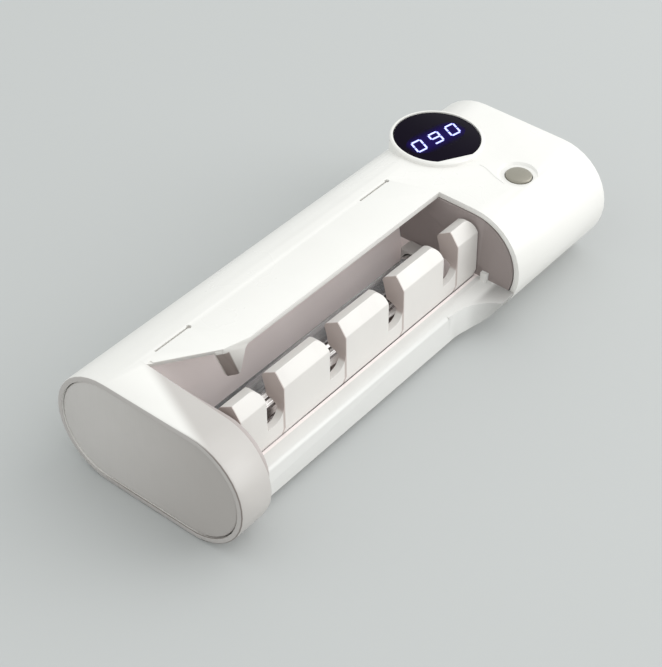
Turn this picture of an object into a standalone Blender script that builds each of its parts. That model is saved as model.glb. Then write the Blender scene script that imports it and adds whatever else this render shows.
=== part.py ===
"""A wall-hung uv toothbrush sanitizer, modelled in metres with +Z up.

The long axis is X. The unit lies on its flat back: hung on a wall, -Y points down and +Z into
the room. A one-piece sleeve of stadium section holds a moulded chassis, which forms the brush
chamber, its lamp floor and the rail under the lift-out brush rack. The closed block at +X holds
the display, the power button and the boards, and the battery lies behind the chamber wall.
"""

import math

import bmesh
import bpy
from mathutils import Euler, Matrix, Vector

# Casing sleeve
CASE_HEIGHT = 0.040
CASE_WALL = 0.002
CASE_EDGE = 0.0005
RING_LENGTH = 0.0147
RING_WALL = 0.0046
WINDOW_LENGTH = 0.1273
BLOCK_LENGTH = 0.055
WINDOW_EDGE_DROP = 0.002
SEAM_FROM_AXIS = 0.0015
FAR_LIP_WALL = 0.004
FAR_LIP_LENGTH = 0.0035

# Clearance between pieces, how far cutters run past what they cut, and the weld of drawn edges
GAP = 0.0003
OVERRUN = 0.002
WELD = 0.000001

# Corner of the window at the ring, and the tab that hangs from its long edge
CORNER_RISE = 0.0152
TAB_SETBACK = 0.020
TAB_LENGTH = 0.0092
TAB_DROP = 0.0127
TAB_THICKNESS = 0.0020
TAB_FOLD = 0.0023
TAB_TIP_WIDTH = 0.0014
TAB_TIP_SETBACK = 0.0042
TAB_SHOULDER_DROP = 0.0035
TAB_SHOULDER_INSET = 0.0015
TAB_SIDE = 0.0025
EDGE_LAND = 0.0003
EDGE_UNDERCUT = 0.0010

# Scooped flare of the ring towards the window
FLARE_DEPTH = 0.0024
FLARE_END_SPACE = 0.0012
FLARE_RUN = 0.0294
FLARE_SWEEP = 132.0
FLARE_FADE_SHARE = 0.45

# Keyhole slits in the front panel
SLIT_FROM_SIDE = 0.0215
SLIT_WIDTH = 0.0007
SLIT_LENGTH = 0.0150
SLIT_HOLE_RADIUS = 0.0008
SLIT_SETBACK = 0.0058

# End plates
PLATE_RIM = 0.0018
PLATE_THICKNESS = 0.0016
PLATE_INSET = 0.0004

# Chassis
CHASSIS_WALL = 0.0016
FLOOR_SPACE = 0.0005
LEDGE_Z = 0.0145
LEDGE_EDGE = 0.0012
RAIL_FROM_AXIS = 0.010
RAIL_WIDTH = 0.010
WALL_FOOT_SPACE = 0.0063
WALL_LEAN = 0.0072
NEAR_BULKHEAD_MARGIN = 0.0018
GROOVE_WIDTH = 0.0020
GROOVE_DEPTH = 0.0034
CORNER_FILLET_RADIUS = 0.018
CORNER_FILLET_FLAT = 0.005
RACK_STOP_LENGTH = 0.0016
RACK_STOP_HEIGHT = 0.0034
RACK_STOP_WIDTH = 0.0028
CABLE_HOLE_FROM_SIDE = 0.0080
CABLE_HOLE_WIDTH = 0.006
CABLE_HOLE_HEIGHT = 0.010

# Brush rack
SLOT_COUNT = 4
SLOT_WIDTH = 0.0079
SLOT_FLOOR_RISE = 0.0070
SLOT_CORNER = 0.0048
TOOTH_CORNER = 0.0040
RACK_END_TOOTH = 0.0117
RACK_END_SPACE = 0.0021
RACK_WEB = 0.0021
RACK_HEAD_DEPTH = 0.0085
RACK_TOP_DROP = 0.0028
RACK_FACE_DROP = 0.0047
RACK_INNER_DROP = 0.0028
RACK_UNDERSIDE_DROP = 0.0112
RACK_FOOT_TURN = 0.0026
RACK_FOOT_INSET = 0.0007
RACK_LEAN = 0.0010
RACK_PEAK_IN = 0.0036
RACK_PEAK_BEVEL = 0.0009
RACK_INNER_ROUND = 0.0005
RACK_INNER_STEP = 0.0011

# Lamp and reflector
REFLECTOR_SHEET = 0.0006
FLUTE_COUNT = 8
FLUTE_HEIGHT = 0.0009
LAMP_RADIUS = 0.0031
LAMP_WALL = 0.0006
LAMP_FROM_WALL = 0.0069
LAMP_CLEARANCE = 0.0008
LAMP_CAP_LENGTH = 0.006
LAMP_CAP_EXTRA_RADIUS = 0.0003
HOLDER_LENGTH = 0.006
HOLDER_WIDTH = 0.0094
HOLDER_SOCKET_DEPTH = 0.0035
HOLDER_NEAR_SETBACK = 0.0042

# Display tower
TOWER_X = 0.0245
TOWER_SIDE_SPACE = 0.0034
TOWER_TO_BUTTON = 0.033
TOWER_RIM = 0.0011
TOWER_RISE = 0.0016
TOWER_DEPTH = 0.0150
LENS_RADIUS = 0.0152
LENS_THICKNESS = 0.0014
LENS_DROP = 0.0003
LENS_FLAT = 0.0015
LENS_FLAT_FACING = -118.0
LENS_SEAT = 0.0017
TOWER_LIP = 0.0017
TOWER_LIP_HEIGHT = 0.0016
DISPLAY_END_SPACE = 0.0022
DISPLAY_WIDTH = 0.0100
BOARD_THICKNESS = 0.0016

# Power button
BUTTON_X = 0.0265
BUTTON_FROM_SIDE = 0.0200
BUTTON_RADIUS = 0.0046
BUTTON_DOME = 0.0004
BUTTON_TRAVEL = 0.0006
DISH_RADIUS = 0.0074
DISH_SLOPE = 0.0009
DISH_DEPTH = 0.0008
GUIDE_WALL = 0.0014
GUIDE_DEPTH = 0.0052
FLANGE_EXTRA = 0.0011
FLANGE_THICKNESS = 0.0010
PLUNGER_RADIUS = 0.0016
PLUNGER_LENGTH = 0.0018
PLUNGER_SHOWN = 0.0007
SWITCH_SIZE = 0.0060
SWITCH_HEIGHT = 0.0034
SWITCH_WALL_BELOW = 0.0006
SWITCH_BOARD_LENGTH = 0.0236
SWITCH_BOARD_WIDTH = 0.0080
SWITCH_BOARD_SHIFT = 0.0008
SWITCH_POST_SETBACK = 0.0025

# Battery and its cradle
CELL_RADIUS = 0.0092
CELL_LENGTH = 0.065
CELL_WALL_GAP = 0.0005
CELL_SETBACK = 0.0070
CELL_TIP_RADIUS = 0.0030
CELL_TIP_HEIGHT = 0.0008
CRADLE_WALL = 0.0020
CRADLE_HEIGHT = 0.0130
CRADLE_SIDE_GAP = 0.0012
CRADLE_SADDLE = 0.0120
CRADLE_WEB_HEIGHT = 0.0050

# Boards
MAIN_BOARD_SETBACK = 0.0030
MAIN_BOARD_END_SPACE = 0.0014
MAIN_BOARD_WIDTH = 0.0440
MAIN_POST_HEIGHT = 0.0083
BOARD_POST_INSET = 0.0035
POST_RADIUS = 0.0024
CHIP_LENGTH = 0.0090
CHIP_WIDTH = 0.0070
CHIP_HEIGHT = 0.0014
USB_WIDTH = 0.0090
USB_HEIGHT = 0.0032
USB_LENGTH = 0.0080
USB_TONGUE_WIDTH = 0.0060
USB_WALL = 0.0004
USB_RADIUS = 0.0012
DRIVER_LENGTH = 0.0240
DRIVER_WIDTH = 0.0125
DRIVER_WALL_SPACE = 0.0112
DRIVER_SETBACK = 0.0030
DRIVER_POST_HEIGHT = 0.0070
TRANSFORMER_LENGTH = 0.0110
TRANSFORMER_WIDTH = 0.0080
TRANSFORMER_HEIGHT = 0.0085

# Wall plate and its pocket in the back
WALL_PLATE_THICKNESS = 0.0010
TONGUE_LENGTH = 0.0030
TONGUE_WIDTH = 0.0050
WALL_PLATE_TRAVEL = 0.006
PAD_THICKNESS = 0.0007
PAD_MARGIN = 0.0010
PAD_RECESS = 0.0002
POCKET_LIP = 0.0008
POCKET_ROOF = 0.0007
POCKET_SEAM_SPACE = 0.0020
POCKET_CRADLE_SPACE = 0.0014
POCKET_SCREW_SPACE = 0.0196

# Screws
SCREW_SHANK_RADIUS = 0.0009
SCREW_HEAD_RADIUS = 0.0018
SCREW_HEAD_HEIGHT = 0.0008
SCREW_LENGTH = 0.0036
SCREW_SINK = 0.0013
SCREW_SOCKET_RADIUS = 0.0008
SCREW_SOCKET_DEPTH = 0.0005
CHASSIS_SCREW_SETBACK = 0.0130
CHASSIS_SCREW_Y = 0.0055

# Counts of facets, and angles in degrees
ARC_STEPS = 20
ROUND_STEPS = 48
SMALL_ROUND_STEPS = 20
SCREW_STEPS = 14
CORNER_STEPS = 5
SHARP_ANGLE = 35.0
EDGE_ANGLE = 60.0
FLAT_ANGLE = 0.1
ROUND_START = 80.0

# Where things follow from the sizes above
TOWER_RADIUS = LENS_RADIUS + GAP + TOWER_RIM
TOWER_BORE = LENS_RADIUS - LENS_SEAT
TOWER_FROM_SIDE = TOWER_SIDE_SPACE + TOWER_RADIUS
CASE_LENGTH = RING_LENGTH + WINDOW_LENGTH + BLOCK_LENGTH
CASE_WIDTH = TOWER_FROM_SIDE + TOWER_TO_BUTTON + BUTTON_FROM_SIDE
SIDE_Y = CASE_WIDTH / 2
FLARE_LENGTH = RING_LENGTH - FLARE_END_SPACE
RADIUS = CASE_HEIGHT / 2
AXIS_Y = CASE_WIDTH / 2 - RADIUS
X_NEAR = -CASE_LENGTH / 2
X_FAR = CASE_LENGTH / 2
X_WIN_NEAR = X_NEAR + RING_LENGTH
X_WIN_FAR = X_WIN_NEAR + WINDOW_LENGTH
WINDOW_EDGE_Y = -WINDOW_EDGE_DROP
PLATE_POCKET = PLATE_INSET + PLATE_THICKNESS + GAP
CHASSIS_NEAR = X_WIN_NEAR + 2 * GAP
BULKHEAD_NEAR = CHASSIS_NEAR + GAP + CHASSIS_WALL
BULKHEAD_FAR = X_WIN_FAR - 2 * GAP
CHASSIS_FAR = X_WIN_FAR + CHASSIS_WALL
PLATE_BOTTOM_Z = POCKET_LIP + GAP
PLATE_TOP_Z = PLATE_BOTTOM_Z + WALL_PLATE_THICKNESS
POCKET_TOP_Z = PLATE_TOP_Z + 2 * GAP
FLOOR_BOTTOM_Z = POCKET_TOP_Z + POCKET_ROOF + FLOOR_SPACE
FLOOR_Z = FLOOR_BOTTOM_Z + CHASSIS_WALL
RAIL_Y = -AXIS_Y - RAIL_FROM_AXIS
RAIL_INNER_Y = RAIL_Y + RAIL_WIDTH
CELL_Y = SIDE_Y - CASE_WALL - CELL_RADIUS - CELL_WALL_GAP
WALL_FOOT_Y = CELL_Y - CELL_RADIUS - WALL_FOOT_SPACE
WALL_TOP_Y = WALL_FOOT_Y + WALL_LEAN
WALL_TOP_OFF = WALL_TOP_Y + CASE_WALL - AXIS_Y
WALL_TOP_Z = RADIUS + math.sqrt((RADIUS - CASE_WALL) ** 2 - WALL_TOP_OFF**2) - 2 * GAP
SEAM_Y = SEAM_FROM_AXIS - AXIS_Y
CRADLE_SIDE_Y = CELL_Y - CELL_RADIUS - CRADLE_SIDE_GAP
RACK_FAR = BULKHEAD_FAR - 2 * GAP
RACK_NEAR = BULKHEAD_NEAR + RACK_END_SPACE
SLOT_PITCH = (RACK_FAR - RACK_NEAR - SLOT_WIDTH - 2 * RACK_END_TOOTH) / (SLOT_COUNT - 1)
SLOT_FLOOR_Z = LEDGE_Z + SLOT_FLOOR_RISE
RACK_TOP_Z = CASE_HEIGHT - RACK_TOP_DROP
RACK_HEAD_Z = RACK_TOP_Z - RACK_FACE_DROP
RACK_INNER_TOP_Z = RACK_TOP_Z - RACK_INNER_DROP
RACK_HEAD_UNDERSIDE_Z = RACK_TOP_Z - RACK_UNDERSIDE_DROP
RACK_FACE_Y = RAIL_Y + RACK_STOP_WIDTH + LEDGE_EDGE + RACK_WEB
REFLECTOR_Z = FLOOR_Z + GAP
LAMP_Y = WALL_FOOT_Y - LAMP_FROM_WALL
LAMP_Z = REFLECTOR_Z + REFLECTOR_SHEET + FLUTE_HEIGHT + LAMP_CLEARANCE + LAMP_RADIUS
LENS_TOP_Z = CASE_HEIGHT + TOWER_RISE - LENS_DROP
LENS_SEAT_Z = LENS_TOP_Z - LENS_THICKNESS - GAP
TOWER_CENTRE = Vector((X_WIN_FAR + TOWER_X, SIDE_Y - TOWER_FROM_SIDE, 0))
BUTTON_CENTRE = Vector((X_WIN_FAR + BUTTON_X, BUTTON_FROM_SIDE - SIDE_Y, 0))

COLOURS = {
    "white": (0.86, 0.86, 0.85),
    "liner": (0.74, 0.70, 0.69),
    "satin": (0.42, 0.41, 0.39),
    "steel": (0.60, 0.59, 0.56),
    "black": (0.01, 0.01, 0.015),
    "green": (0.03, 0.16, 0.07),
    "dark": (0.05, 0.05, 0.055),
    "glass": (0.85, 0.88, 0.92),
    "blue": (0.05, 0.12, 0.35),
    "foam": (0.10, 0.10, 0.10),
    "ferrite": (0.55, 0.42, 0.10),
}


def clear_scene():
    """Empties the scene that the script is run in."""
    for item in list(bpy.data.objects):
        bpy.data.objects.remove(item, do_unlink=True)


def new_collection(name):
    """Returns a new collection linked to the scene."""
    group = bpy.data.collections.new(name)
    bpy.context.scene.collection.children.link(group)
    return group


def surface(name, colour, roughness, metallic):
    """Returns a plain material for one piece."""
    made = bpy.data.materials.new(name)
    made.use_nodes = True
    shader = made.node_tree.nodes["Principled BSDF"]
    shader.inputs["Base Color"].default_value = (*COLOURS[colour], 1.0)
    shader.inputs["Roughness"].default_value = roughness
    shader.inputs["Metallic"].default_value = metallic
    return made


def finish(item, colour, roughness=0.4, metallic=0.0):
    """Moves an object to the part's collection, with its own material and smooth round faces."""
    for group in list(item.users_collection):
        group.objects.unlink(item)
    PART.objects.link(item)
    item.data.materials.clear()
    item.data.materials.append(surface(item.name, colour, roughness, metallic))
    if item.modifiers:
        weld = item.modifiers.new("Weld", "WELD")
        weld.merge_threshold = WELD
    item.data.shade_smooth()
    item.data.set_sharp_from_angle(angle=math.radians(SHARP_ANGLE))
    return item


def add_mesh(name, shape):
    """Makes an object of a bmesh in the cutters' collection, where every new shape starts."""
    mesh = bpy.data.meshes.new(name)
    shape.to_mesh(mesh)
    shape.free()
    item = bpy.data.objects.new(name, mesh)
    CUTTERS.objects.link(item)
    return item


def box(name, low, high):
    """A box between two corners."""
    low, high = Vector(low), Vector(high)
    shape = bmesh.new()
    bmesh.ops.create_cube(shape, size=1.0)
    bmesh.ops.scale(shape, vec=high - low, verts=shape.verts)
    bmesh.ops.translate(shape, vec=(low + high) / 2, verts=shape.verts)
    return add_mesh(name, shape)


def rod(name, start, end, radius, steps=SMALL_ROUND_STEPS):
    """A cylinder from one point to another."""
    start, end = Vector(start), Vector(end)
    shape = bmesh.new()
    bmesh.ops.create_cone(
        shape, cap_ends=True, segments=steps, radius1=radius, radius2=radius,
        depth=(end - start).length,
    )
    turn = Vector((0, 0, 1)).rotation_difference(end - start).to_matrix().to_4x4()
    bmesh.ops.transform(shape, matrix=Matrix.Translation((start + end) / 2) @ turn, verts=shape.verts)
    return add_mesh(name, shape)


def turned(name, profile, place, steps=ROUND_STEPS, turn=(0, 0, 0)):
    """A solid of revolution about its own Z axis, from (radius, height) points, top to bottom."""
    shape = bmesh.new()
    points = [shape.verts.new((radius, 0, height)) for radius, height in profile]
    for first, second in zip(points, points[1:]):
        shape.edges.new((first, second))
    item = add_mesh(name, shape)
    item.location = place
    item.rotation_euler = turn
    screw = item.modifiers.new("Turn", "SCREW")
    screw.axis = "Z"
    screw.steps = steps
    screw.render_steps = steps
    screw.use_merge_vertices = True
    screw.merge_threshold = WELD
    screw.use_normal_calculate = False
    return item


PLANE_TURNS = {
    "YZ": Euler((math.pi / 2, 0, math.pi / 2)),
    "XZ": Euler((math.pi / 2, 0, 0)),
    "XY": Euler((0, 0, 0)),
}
PLANE_NORMALS = {"YZ": Vector((1, 0, 0)), "XZ": Vector((0, -1, 0)), "XY": Vector((0, 0, 1))}


def prism(name, plane, loops, start, end):
    """A flat outline, with holes where it has more loops, drawn out between two places."""
    curve = bpy.data.curves.new(name, "CURVE")
    curve.dimensions = "2D"
    curve.fill_mode = "BOTH"
    curve.extrude = abs(end - start) / 2
    for loop in loops:
        spline = curve.splines.new("POLY")
        spline.points.add(len(loop) - 1)
        for point, (across, up) in zip(spline.points, loop):
            point.co = (across, up, 0, 1)
        spline.use_cyclic_u = True
    drawn = bpy.data.objects.new(name, curve)
    drawn.rotation_euler = PLANE_TURNS[plane]
    axis = PLANE_NORMALS[plane]
    drawn.location = Vector([abs(part) for part in axis]) * (start + end) / 2
    CUTTERS.objects.link(drawn)
    bpy.context.view_layer.update()
    seen = drawn.evaluated_get(bpy.context.evaluated_depsgraph_get())
    mesh = bpy.data.meshes.new_from_object(seen)
    mesh.transform(drawn.matrix_world)
    bpy.data.objects.remove(drawn)
    shape = bmesh.new()
    shape.from_mesh(mesh)
    bpy.data.meshes.remove(mesh)
    bmesh.ops.remove_doubles(shape, verts=shape.verts, dist=WELD)
    bmesh.ops.dissolve_limit(
        shape, angle_limit=math.radians(FLAT_ANGLE), verts=shape.verts, edges=shape.edges
    )
    bmesh.ops.recalc_face_normals(shape, faces=shape.faces)
    return add_mesh(name, shape)


def loft(name, sections):
    """A solid through closed sections that all have the same number of points."""
    shape = bmesh.new()
    rings = [[shape.verts.new(point) for point in section] for section in sections]
    for ring, following in zip(rings, rings[1:]):
        for index in range(len(ring)):
            after = (index + 1) % len(ring)
            shape.faces.new((ring[index], ring[after], following[after], following[index]))
    shape.faces.new(rings[0])
    shape.faces.new(rings[-1])
    bmesh.ops.recalc_face_normals(shape, faces=shape.faces)
    return add_mesh(name, shape)


def combine(target, others, operation):
    """Adds one live Boolean for each of the other objects, which stay as hidden guides."""
    for other in others:
        other.hide_render = True
        other.display_type = "WIRE"
        step = target.modifiers.new(other.name, "BOOLEAN")
        step.operation = operation
        step.solver = "EXACT"
        step.object = other
    return target


def cut(target, *others):
    """Takes the other shapes away from the target."""
    return combine(target, others, "DIFFERENCE")


def join(target, *others):
    """Adds the other shapes to the target."""
    return combine(target, others, "UNION")


def keep(target, *others):
    """Keeps only what the target shares with the other shapes."""
    return combine(target, others, "INTERSECT")


def arc(across, up, radius, start, end, steps):
    """Points on an arc, between two angles in degrees, both ends included."""
    points = []
    for index in range(steps + 1):
        angle = math.radians(start + (end - start) * index / steps)
        points.append((across + radius * math.cos(angle), up + radius * math.sin(angle)))
    return points


def stadium(inset):
    """The casing's section in Y and Z, moved in from its outside by a distance."""
    radius = RADIUS - inset
    right = arc(AXIS_Y, RADIUS, radius, -90, 90, ARC_STEPS)
    left = arc(-AXIS_Y, RADIUS, radius, 90, 270, ARC_STEPS)
    return right + left


def stadium_z(y, inset, top=True):
    """The height of the casing's section at a place across it."""
    off = max(0.0, abs(y) - AXIS_Y)
    rise = math.sqrt((RADIUS - inset) ** 2 - off**2)
    return RADIUS + rise if top else RADIUS - rise


def flare_section(point, normal, depth):
    """The flare's cut at one place on the ring: a wedge that is deepest at the window."""
    slope = FLARE_DEPTH / FLARE_LENGTH
    start = X_WIN_NEAR - max(0.0, depth) / slope - OVERRUN
    end = X_WIN_NEAR + OVERRUN
    high = FLARE_DEPTH + OVERRUN
    corners = [(start, (X_WIN_NEAR - start) * slope - depth), (end, -depth - slope * OVERRUN)]
    corners += [(end, high), (start, high)]
    return [point + normal * rise + Vector((x, 0, 0)) for x, rise in corners]


def flare_cutter():
    """A band that leaves the ring scooped where it meets the window, from nothing at its corner."""
    corner_y = WINDOW_EDGE_Y + CORNER_RISE
    full = (corner_y + AXIS_Y) * FLARE_DEPTH / FLARE_RUN
    full = min(full, FLARE_DEPTH)
    sections = []
    for index in range(CORNER_STEPS + 1):
        share = index / CORNER_STEPS
        y = corner_y - (corner_y + AXIS_Y) * share
        place = Vector((0, y, CASE_HEIGHT))
        sections.append(flare_section(place, Vector((0, 0, 1)), full * share))
    for index in range(1, ARC_STEPS + 1):
        share = index / ARC_STEPS
        angle = math.radians(90 + FLARE_SWEEP * share)
        normal = Vector((0, math.cos(angle), math.sin(angle)))
        place = Vector((0, -AXIS_Y, RADIUS)) + normal * RADIUS
        fade = max(0.0, (share - FLARE_FADE_SHARE) / (1 - FLARE_FADE_SHARE))
        sections.append(flare_section(place, normal, full * (1 - fade) - WELD))
    return loft("flare_cutter", sections)


def window_cutters():
    """The opening in the sleeve: an L in section, and a slanting corner at the ring."""
    outside = -CASE_WIDTH
    side = [
        (WINDOW_EDGE_Y, CASE_HEIGHT + OVERRUN),
        (outside, CASE_HEIGHT + OVERRUN),
        (outside, -OVERRUN),
        (SEAM_Y, -OVERRUN),
        (SEAM_Y, RADIUS),
        (WINDOW_EDGE_Y, RADIUS),
    ]
    main = prism("window_cutter", "YZ", [side], X_WIN_NEAR, X_WIN_FAR)
    tab_x = X_WIN_NEAR + TAB_SETBACK
    corner = [
        (X_WIN_NEAR, WINDOW_EDGE_Y + CORNER_RISE),
        (X_WIN_NEAR, WINDOW_EDGE_Y - OVERRUN),
        (tab_x + TAB_LENGTH, WINDOW_EDGE_Y - OVERRUN),
        (tab_x + TAB_LENGTH, WINDOW_EDGE_Y),
        (tab_x, WINDOW_EDGE_Y + TAB_FOLD),
    ]
    slanting = prism(
        "window_corner_cutter", "XY", [corner], CASE_HEIGHT - 2 * CASE_WALL, CASE_HEIGHT + OVERRUN
    )
    return main, slanting


def undercut_cutter():
    """Takes the slanting edge at the window's corner back under its face."""
    slope = EDGE_UNDERCUT / CASE_WALL
    drop = 2 * CASE_WALL
    land = CASE_HEIGHT - EDGE_LAND
    slant = (CORNER_RISE - TAB_FOLD) / TAB_SETBACK
    sections = []
    for along in (0, TAB_SETBACK - GAP):
        x = X_WIN_NEAR + along
        y = WINDOW_EDGE_Y + CORNER_RISE - along * slant
        sections.append([
            Vector((x, y - OVERRUN, land + OVERRUN / slope)),
            Vector((x, y + drop * slope, land - drop)),
            Vector((x, y - OVERRUN, land - drop)),
        ])
    return loft("edge_undercut_cutter", sections)


def slit_cutters():
    """Two keyhole slits in the front panel: a fine cut with a round hole at its far end."""
    y = SIDE_Y - SLIT_FROM_SIDE
    deep = CASE_HEIGHT - CASE_WALL - OVERRUN
    high = CASE_HEIGHT + OVERRUN
    starts = {
        "near": X_WIN_NEAR + SLIT_SETBACK,
        "far": X_WIN_FAR - SLIT_SETBACK - SLIT_LENGTH - SLIT_HOLE_RADIUS,
    }
    cutters = []
    for side, start in starts.items():
        end = start + SLIT_LENGTH
        half = SLIT_WIDTH / 2
        cutters.append(box(f"slit_{side}_cutter", (start, y - half, deep), (end, y + half, high)))
        cutters.append(rod(f"slit_{side}_hole_cutter", (end, y, deep), (end, y, high), SLIT_HOLE_RADIUS))
    return cutters


def chord_outline(radius, flat, steps=ROUND_STEPS):
    """A circle in X and Y about the display's middle, with a flat facing the power button."""
    half = math.degrees(math.acos((radius - flat) / radius))
    start = LENS_FLAT_FACING + half
    return arc(TOWER_CENTRE.x, TOWER_CENTRE.y, radius, start, start + 360 - 2 * half, steps)


def screw(name, place, turn=(0, 0, 0)):
    """A pan-head screw whose head's underside is at its origin and whose shank runs to -Z."""
    profile = [
        (0, SCREW_HEAD_HEIGHT - SCREW_SOCKET_DEPTH),
        (SCREW_SOCKET_RADIUS, SCREW_HEAD_HEIGHT - SCREW_SOCKET_DEPTH),
        (SCREW_SOCKET_RADIUS, SCREW_HEAD_HEIGHT),
        (SCREW_HEAD_RADIUS - SCREW_SOCKET_DEPTH, SCREW_HEAD_HEIGHT),
        (SCREW_HEAD_RADIUS, SCREW_HEAD_HEIGHT - SCREW_SOCKET_DEPTH),
        (SCREW_HEAD_RADIUS, 0),
        (SCREW_SHANK_RADIUS, 0),
        (SCREW_SHANK_RADIUS, SCREW_SHANK_RADIUS - SCREW_LENGTH),
        (0, -SCREW_LENGTH),
    ]
    return finish(turned(name, profile, place, SCREW_STEPS, turn), "steel", 0.3, 1.0)


# Places of the posts and screws, shared by the pieces that meet there
BACK_SCREW_Z = SCREW_SINK - GAP
CHASSIS_SCREW_PLACES = [
    (x, y)
    for x in (X_WIN_NEAR + CHASSIS_SCREW_SETBACK, X_WIN_FAR - CHASSIS_SCREW_SETBACK)
    for y in (-CHASSIS_SCREW_Y, CHASSIS_SCREW_Y)
]
MAIN_BOARD_NEAR = CHASSIS_FAR + MAIN_BOARD_SETBACK
MAIN_BOARD_FAR = X_FAR - PLATE_POCKET - MAIN_BOARD_END_SPACE
MAIN_BOARD_Z = CASE_WALL + MAIN_POST_HEIGHT + GAP
MAIN_POST_PLACES = [
    (x, y)
    for x in (MAIN_BOARD_NEAR + BOARD_POST_INSET, MAIN_BOARD_FAR - BOARD_POST_INSET)
    for y in (BOARD_POST_INSET - MAIN_BOARD_WIDTH / 2, MAIN_BOARD_WIDTH / 2 - BOARD_POST_INSET)
]
DRIVER_Y = WALL_FOOT_Y + DRIVER_WALL_SPACE
DRIVER_FAR = X_WIN_FAR - DRIVER_SETBACK
DRIVER_NEAR = DRIVER_FAR - DRIVER_LENGTH
DRIVER_Z = CASE_WALL + DRIVER_POST_HEIGHT + GAP
DRIVER_POST_PLACES = [
    (x, DRIVER_Y) for x in (DRIVER_NEAR + BOARD_POST_INSET, DRIVER_FAR - BOARD_POST_INSET)
]
BUTTON_FLANGE_TOP = CASE_HEIGHT - CASE_WALL - GUIDE_DEPTH + CASE_WALL - GAP
PLUNGER_TOP = BUTTON_FLANGE_TOP - FLANGE_THICKNESS - GAP
SWITCH_TOP = PLUNGER_TOP - PLUNGER_SHOWN
SWITCH_BOARD_TOP = SWITCH_TOP - SWITCH_HEIGHT - GAP
SWITCH_BOARD_BOTTOM = SWITCH_BOARD_TOP - BOARD_THICKNESS
SWITCH_BOARD_CENTRE = BUTTON_CENTRE - Vector((0, SWITCH_BOARD_SHIFT, 0))
SWITCH_POST_PLACES = [
    (BUTTON_CENTRE.x + side * (SWITCH_BOARD_LENGTH / 2 - SWITCH_POST_SETBACK), SWITCH_BOARD_CENTRE.y)
    for side in (-1, 1)
]
CELL_NEAR = X_WIN_NEAR + CELL_SETBACK
CELL_FAR = CELL_NEAR + CELL_LENGTH
CRADLE_NEAR = CELL_NEAR - CRADLE_WALL - GAP
CRADLE_FAR = CELL_FAR + CELL_TIP_HEIGHT + CRADLE_WALL + GAP
CRADLE_SCREW_PLACES = [
    (x, CELL_Y - CELL_RADIUS + SCREW_HEAD_RADIUS)
    for x in (CRADLE_NEAR + CRADLE_SADDLE / 2, CRADLE_FAR - CRADLE_SADDLE / 2)
]
POCKET_X = (X_WIN_NEAR + X_WIN_FAR) / 2
POCKET_EDGE = POCKET_ROOF + GAP
WALL_PLATE_LENGTH = WINDOW_LENGTH - 2 * (CHASSIS_SCREW_SETBACK + POCKET_SCREW_SPACE + POCKET_EDGE)
WALL_PLATE_NEAR_Y = SEAM_Y + POCKET_SEAM_SPACE + POCKET_EDGE + WALL_PLATE_TRAVEL
WALL_PLATE_FAR_Y = CRADLE_SIDE_Y - POCKET_CRADLE_SPACE - POCKET_EDGE
WALL_PLATE_WIDTH = WALL_PLATE_FAR_Y - WALL_PLATE_NEAR_Y
WALL_PLATE_Y = (WALL_PLATE_NEAR_Y + WALL_PLATE_FAR_Y) / 2


def make_casing():
    """The white sleeve, with its window, display tower, button guide, posts and back pocket."""
    case = prism("casing", "YZ", [stadium(0)], X_NEAR, X_FAR)
    edge = case.modifiers.new("End edges", "BEVEL")
    edge.width = CASE_EDGE
    edge.segments = 2
    edge.limit_method = "ANGLE"
    edge.angle_limit = math.radians(EDGE_ANGLE)
    near_pocket = X_NEAR + PLATE_POCKET
    far_pocket = X_FAR - PLATE_POCKET
    far_lip = far_pocket - FAR_LIP_LENGTH
    cut(
        case,
        prism("cavity_cutter", "YZ", [stadium(CASE_WALL)], X_WIN_NEAR + GAP, far_lip),
        prism("ring_bore_cutter", "YZ", [stadium(RING_WALL)], X_NEAR - OVERRUN, X_WIN_NEAR + OVERRUN),
        prism("near_pocket_cutter", "YZ", [stadium(PLATE_RIM)], X_NEAR - OVERRUN, near_pocket),
        prism("far_bore_cutter", "YZ", [stadium(FAR_LIP_WALL)], far_lip - OVERRUN, X_FAR + OVERRUN),
        prism("far_pocket_cutter", "YZ", [stadium(PLATE_RIM)], far_pocket, X_FAR + OVERRUN),
        flare_cutter(),
        *window_cutters(),
        undercut_cutter(),
        *slit_cutters(),
    )
    add_tab(case)
    add_tower(case)
    add_button_guide(case)
    add_posts(case)
    add_wall_pocket(case)
    return finish(case, "white", 0.35)


def tab_section(left, right, z):
    """The tab in plan at one height: its front, and a side that follows the slanting edge."""
    fold = TAB_FOLD / TAB_LENGTH
    slant = (CORNER_RISE - TAB_FOLD) / TAB_SETBACK
    corner = X_WIN_NEAR + TAB_SETBACK + TAB_LENGTH
    front_left = WINDOW_EDGE_Y + (corner - left) * fold
    front_right = WINDOW_EDGE_Y + (corner - right) * fold
    plan = [
        (left, front_left),
        (right, front_right),
        (right, front_right + TAB_THICKNESS),
        (left - TAB_SIDE, front_left + TAB_SIDE * fold + TAB_THICKNESS),
        (left - TAB_SIDE, front_left + TAB_SIDE * slant),
    ]
    return [Vector((x, y, z)) for x, y in plan]


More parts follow.
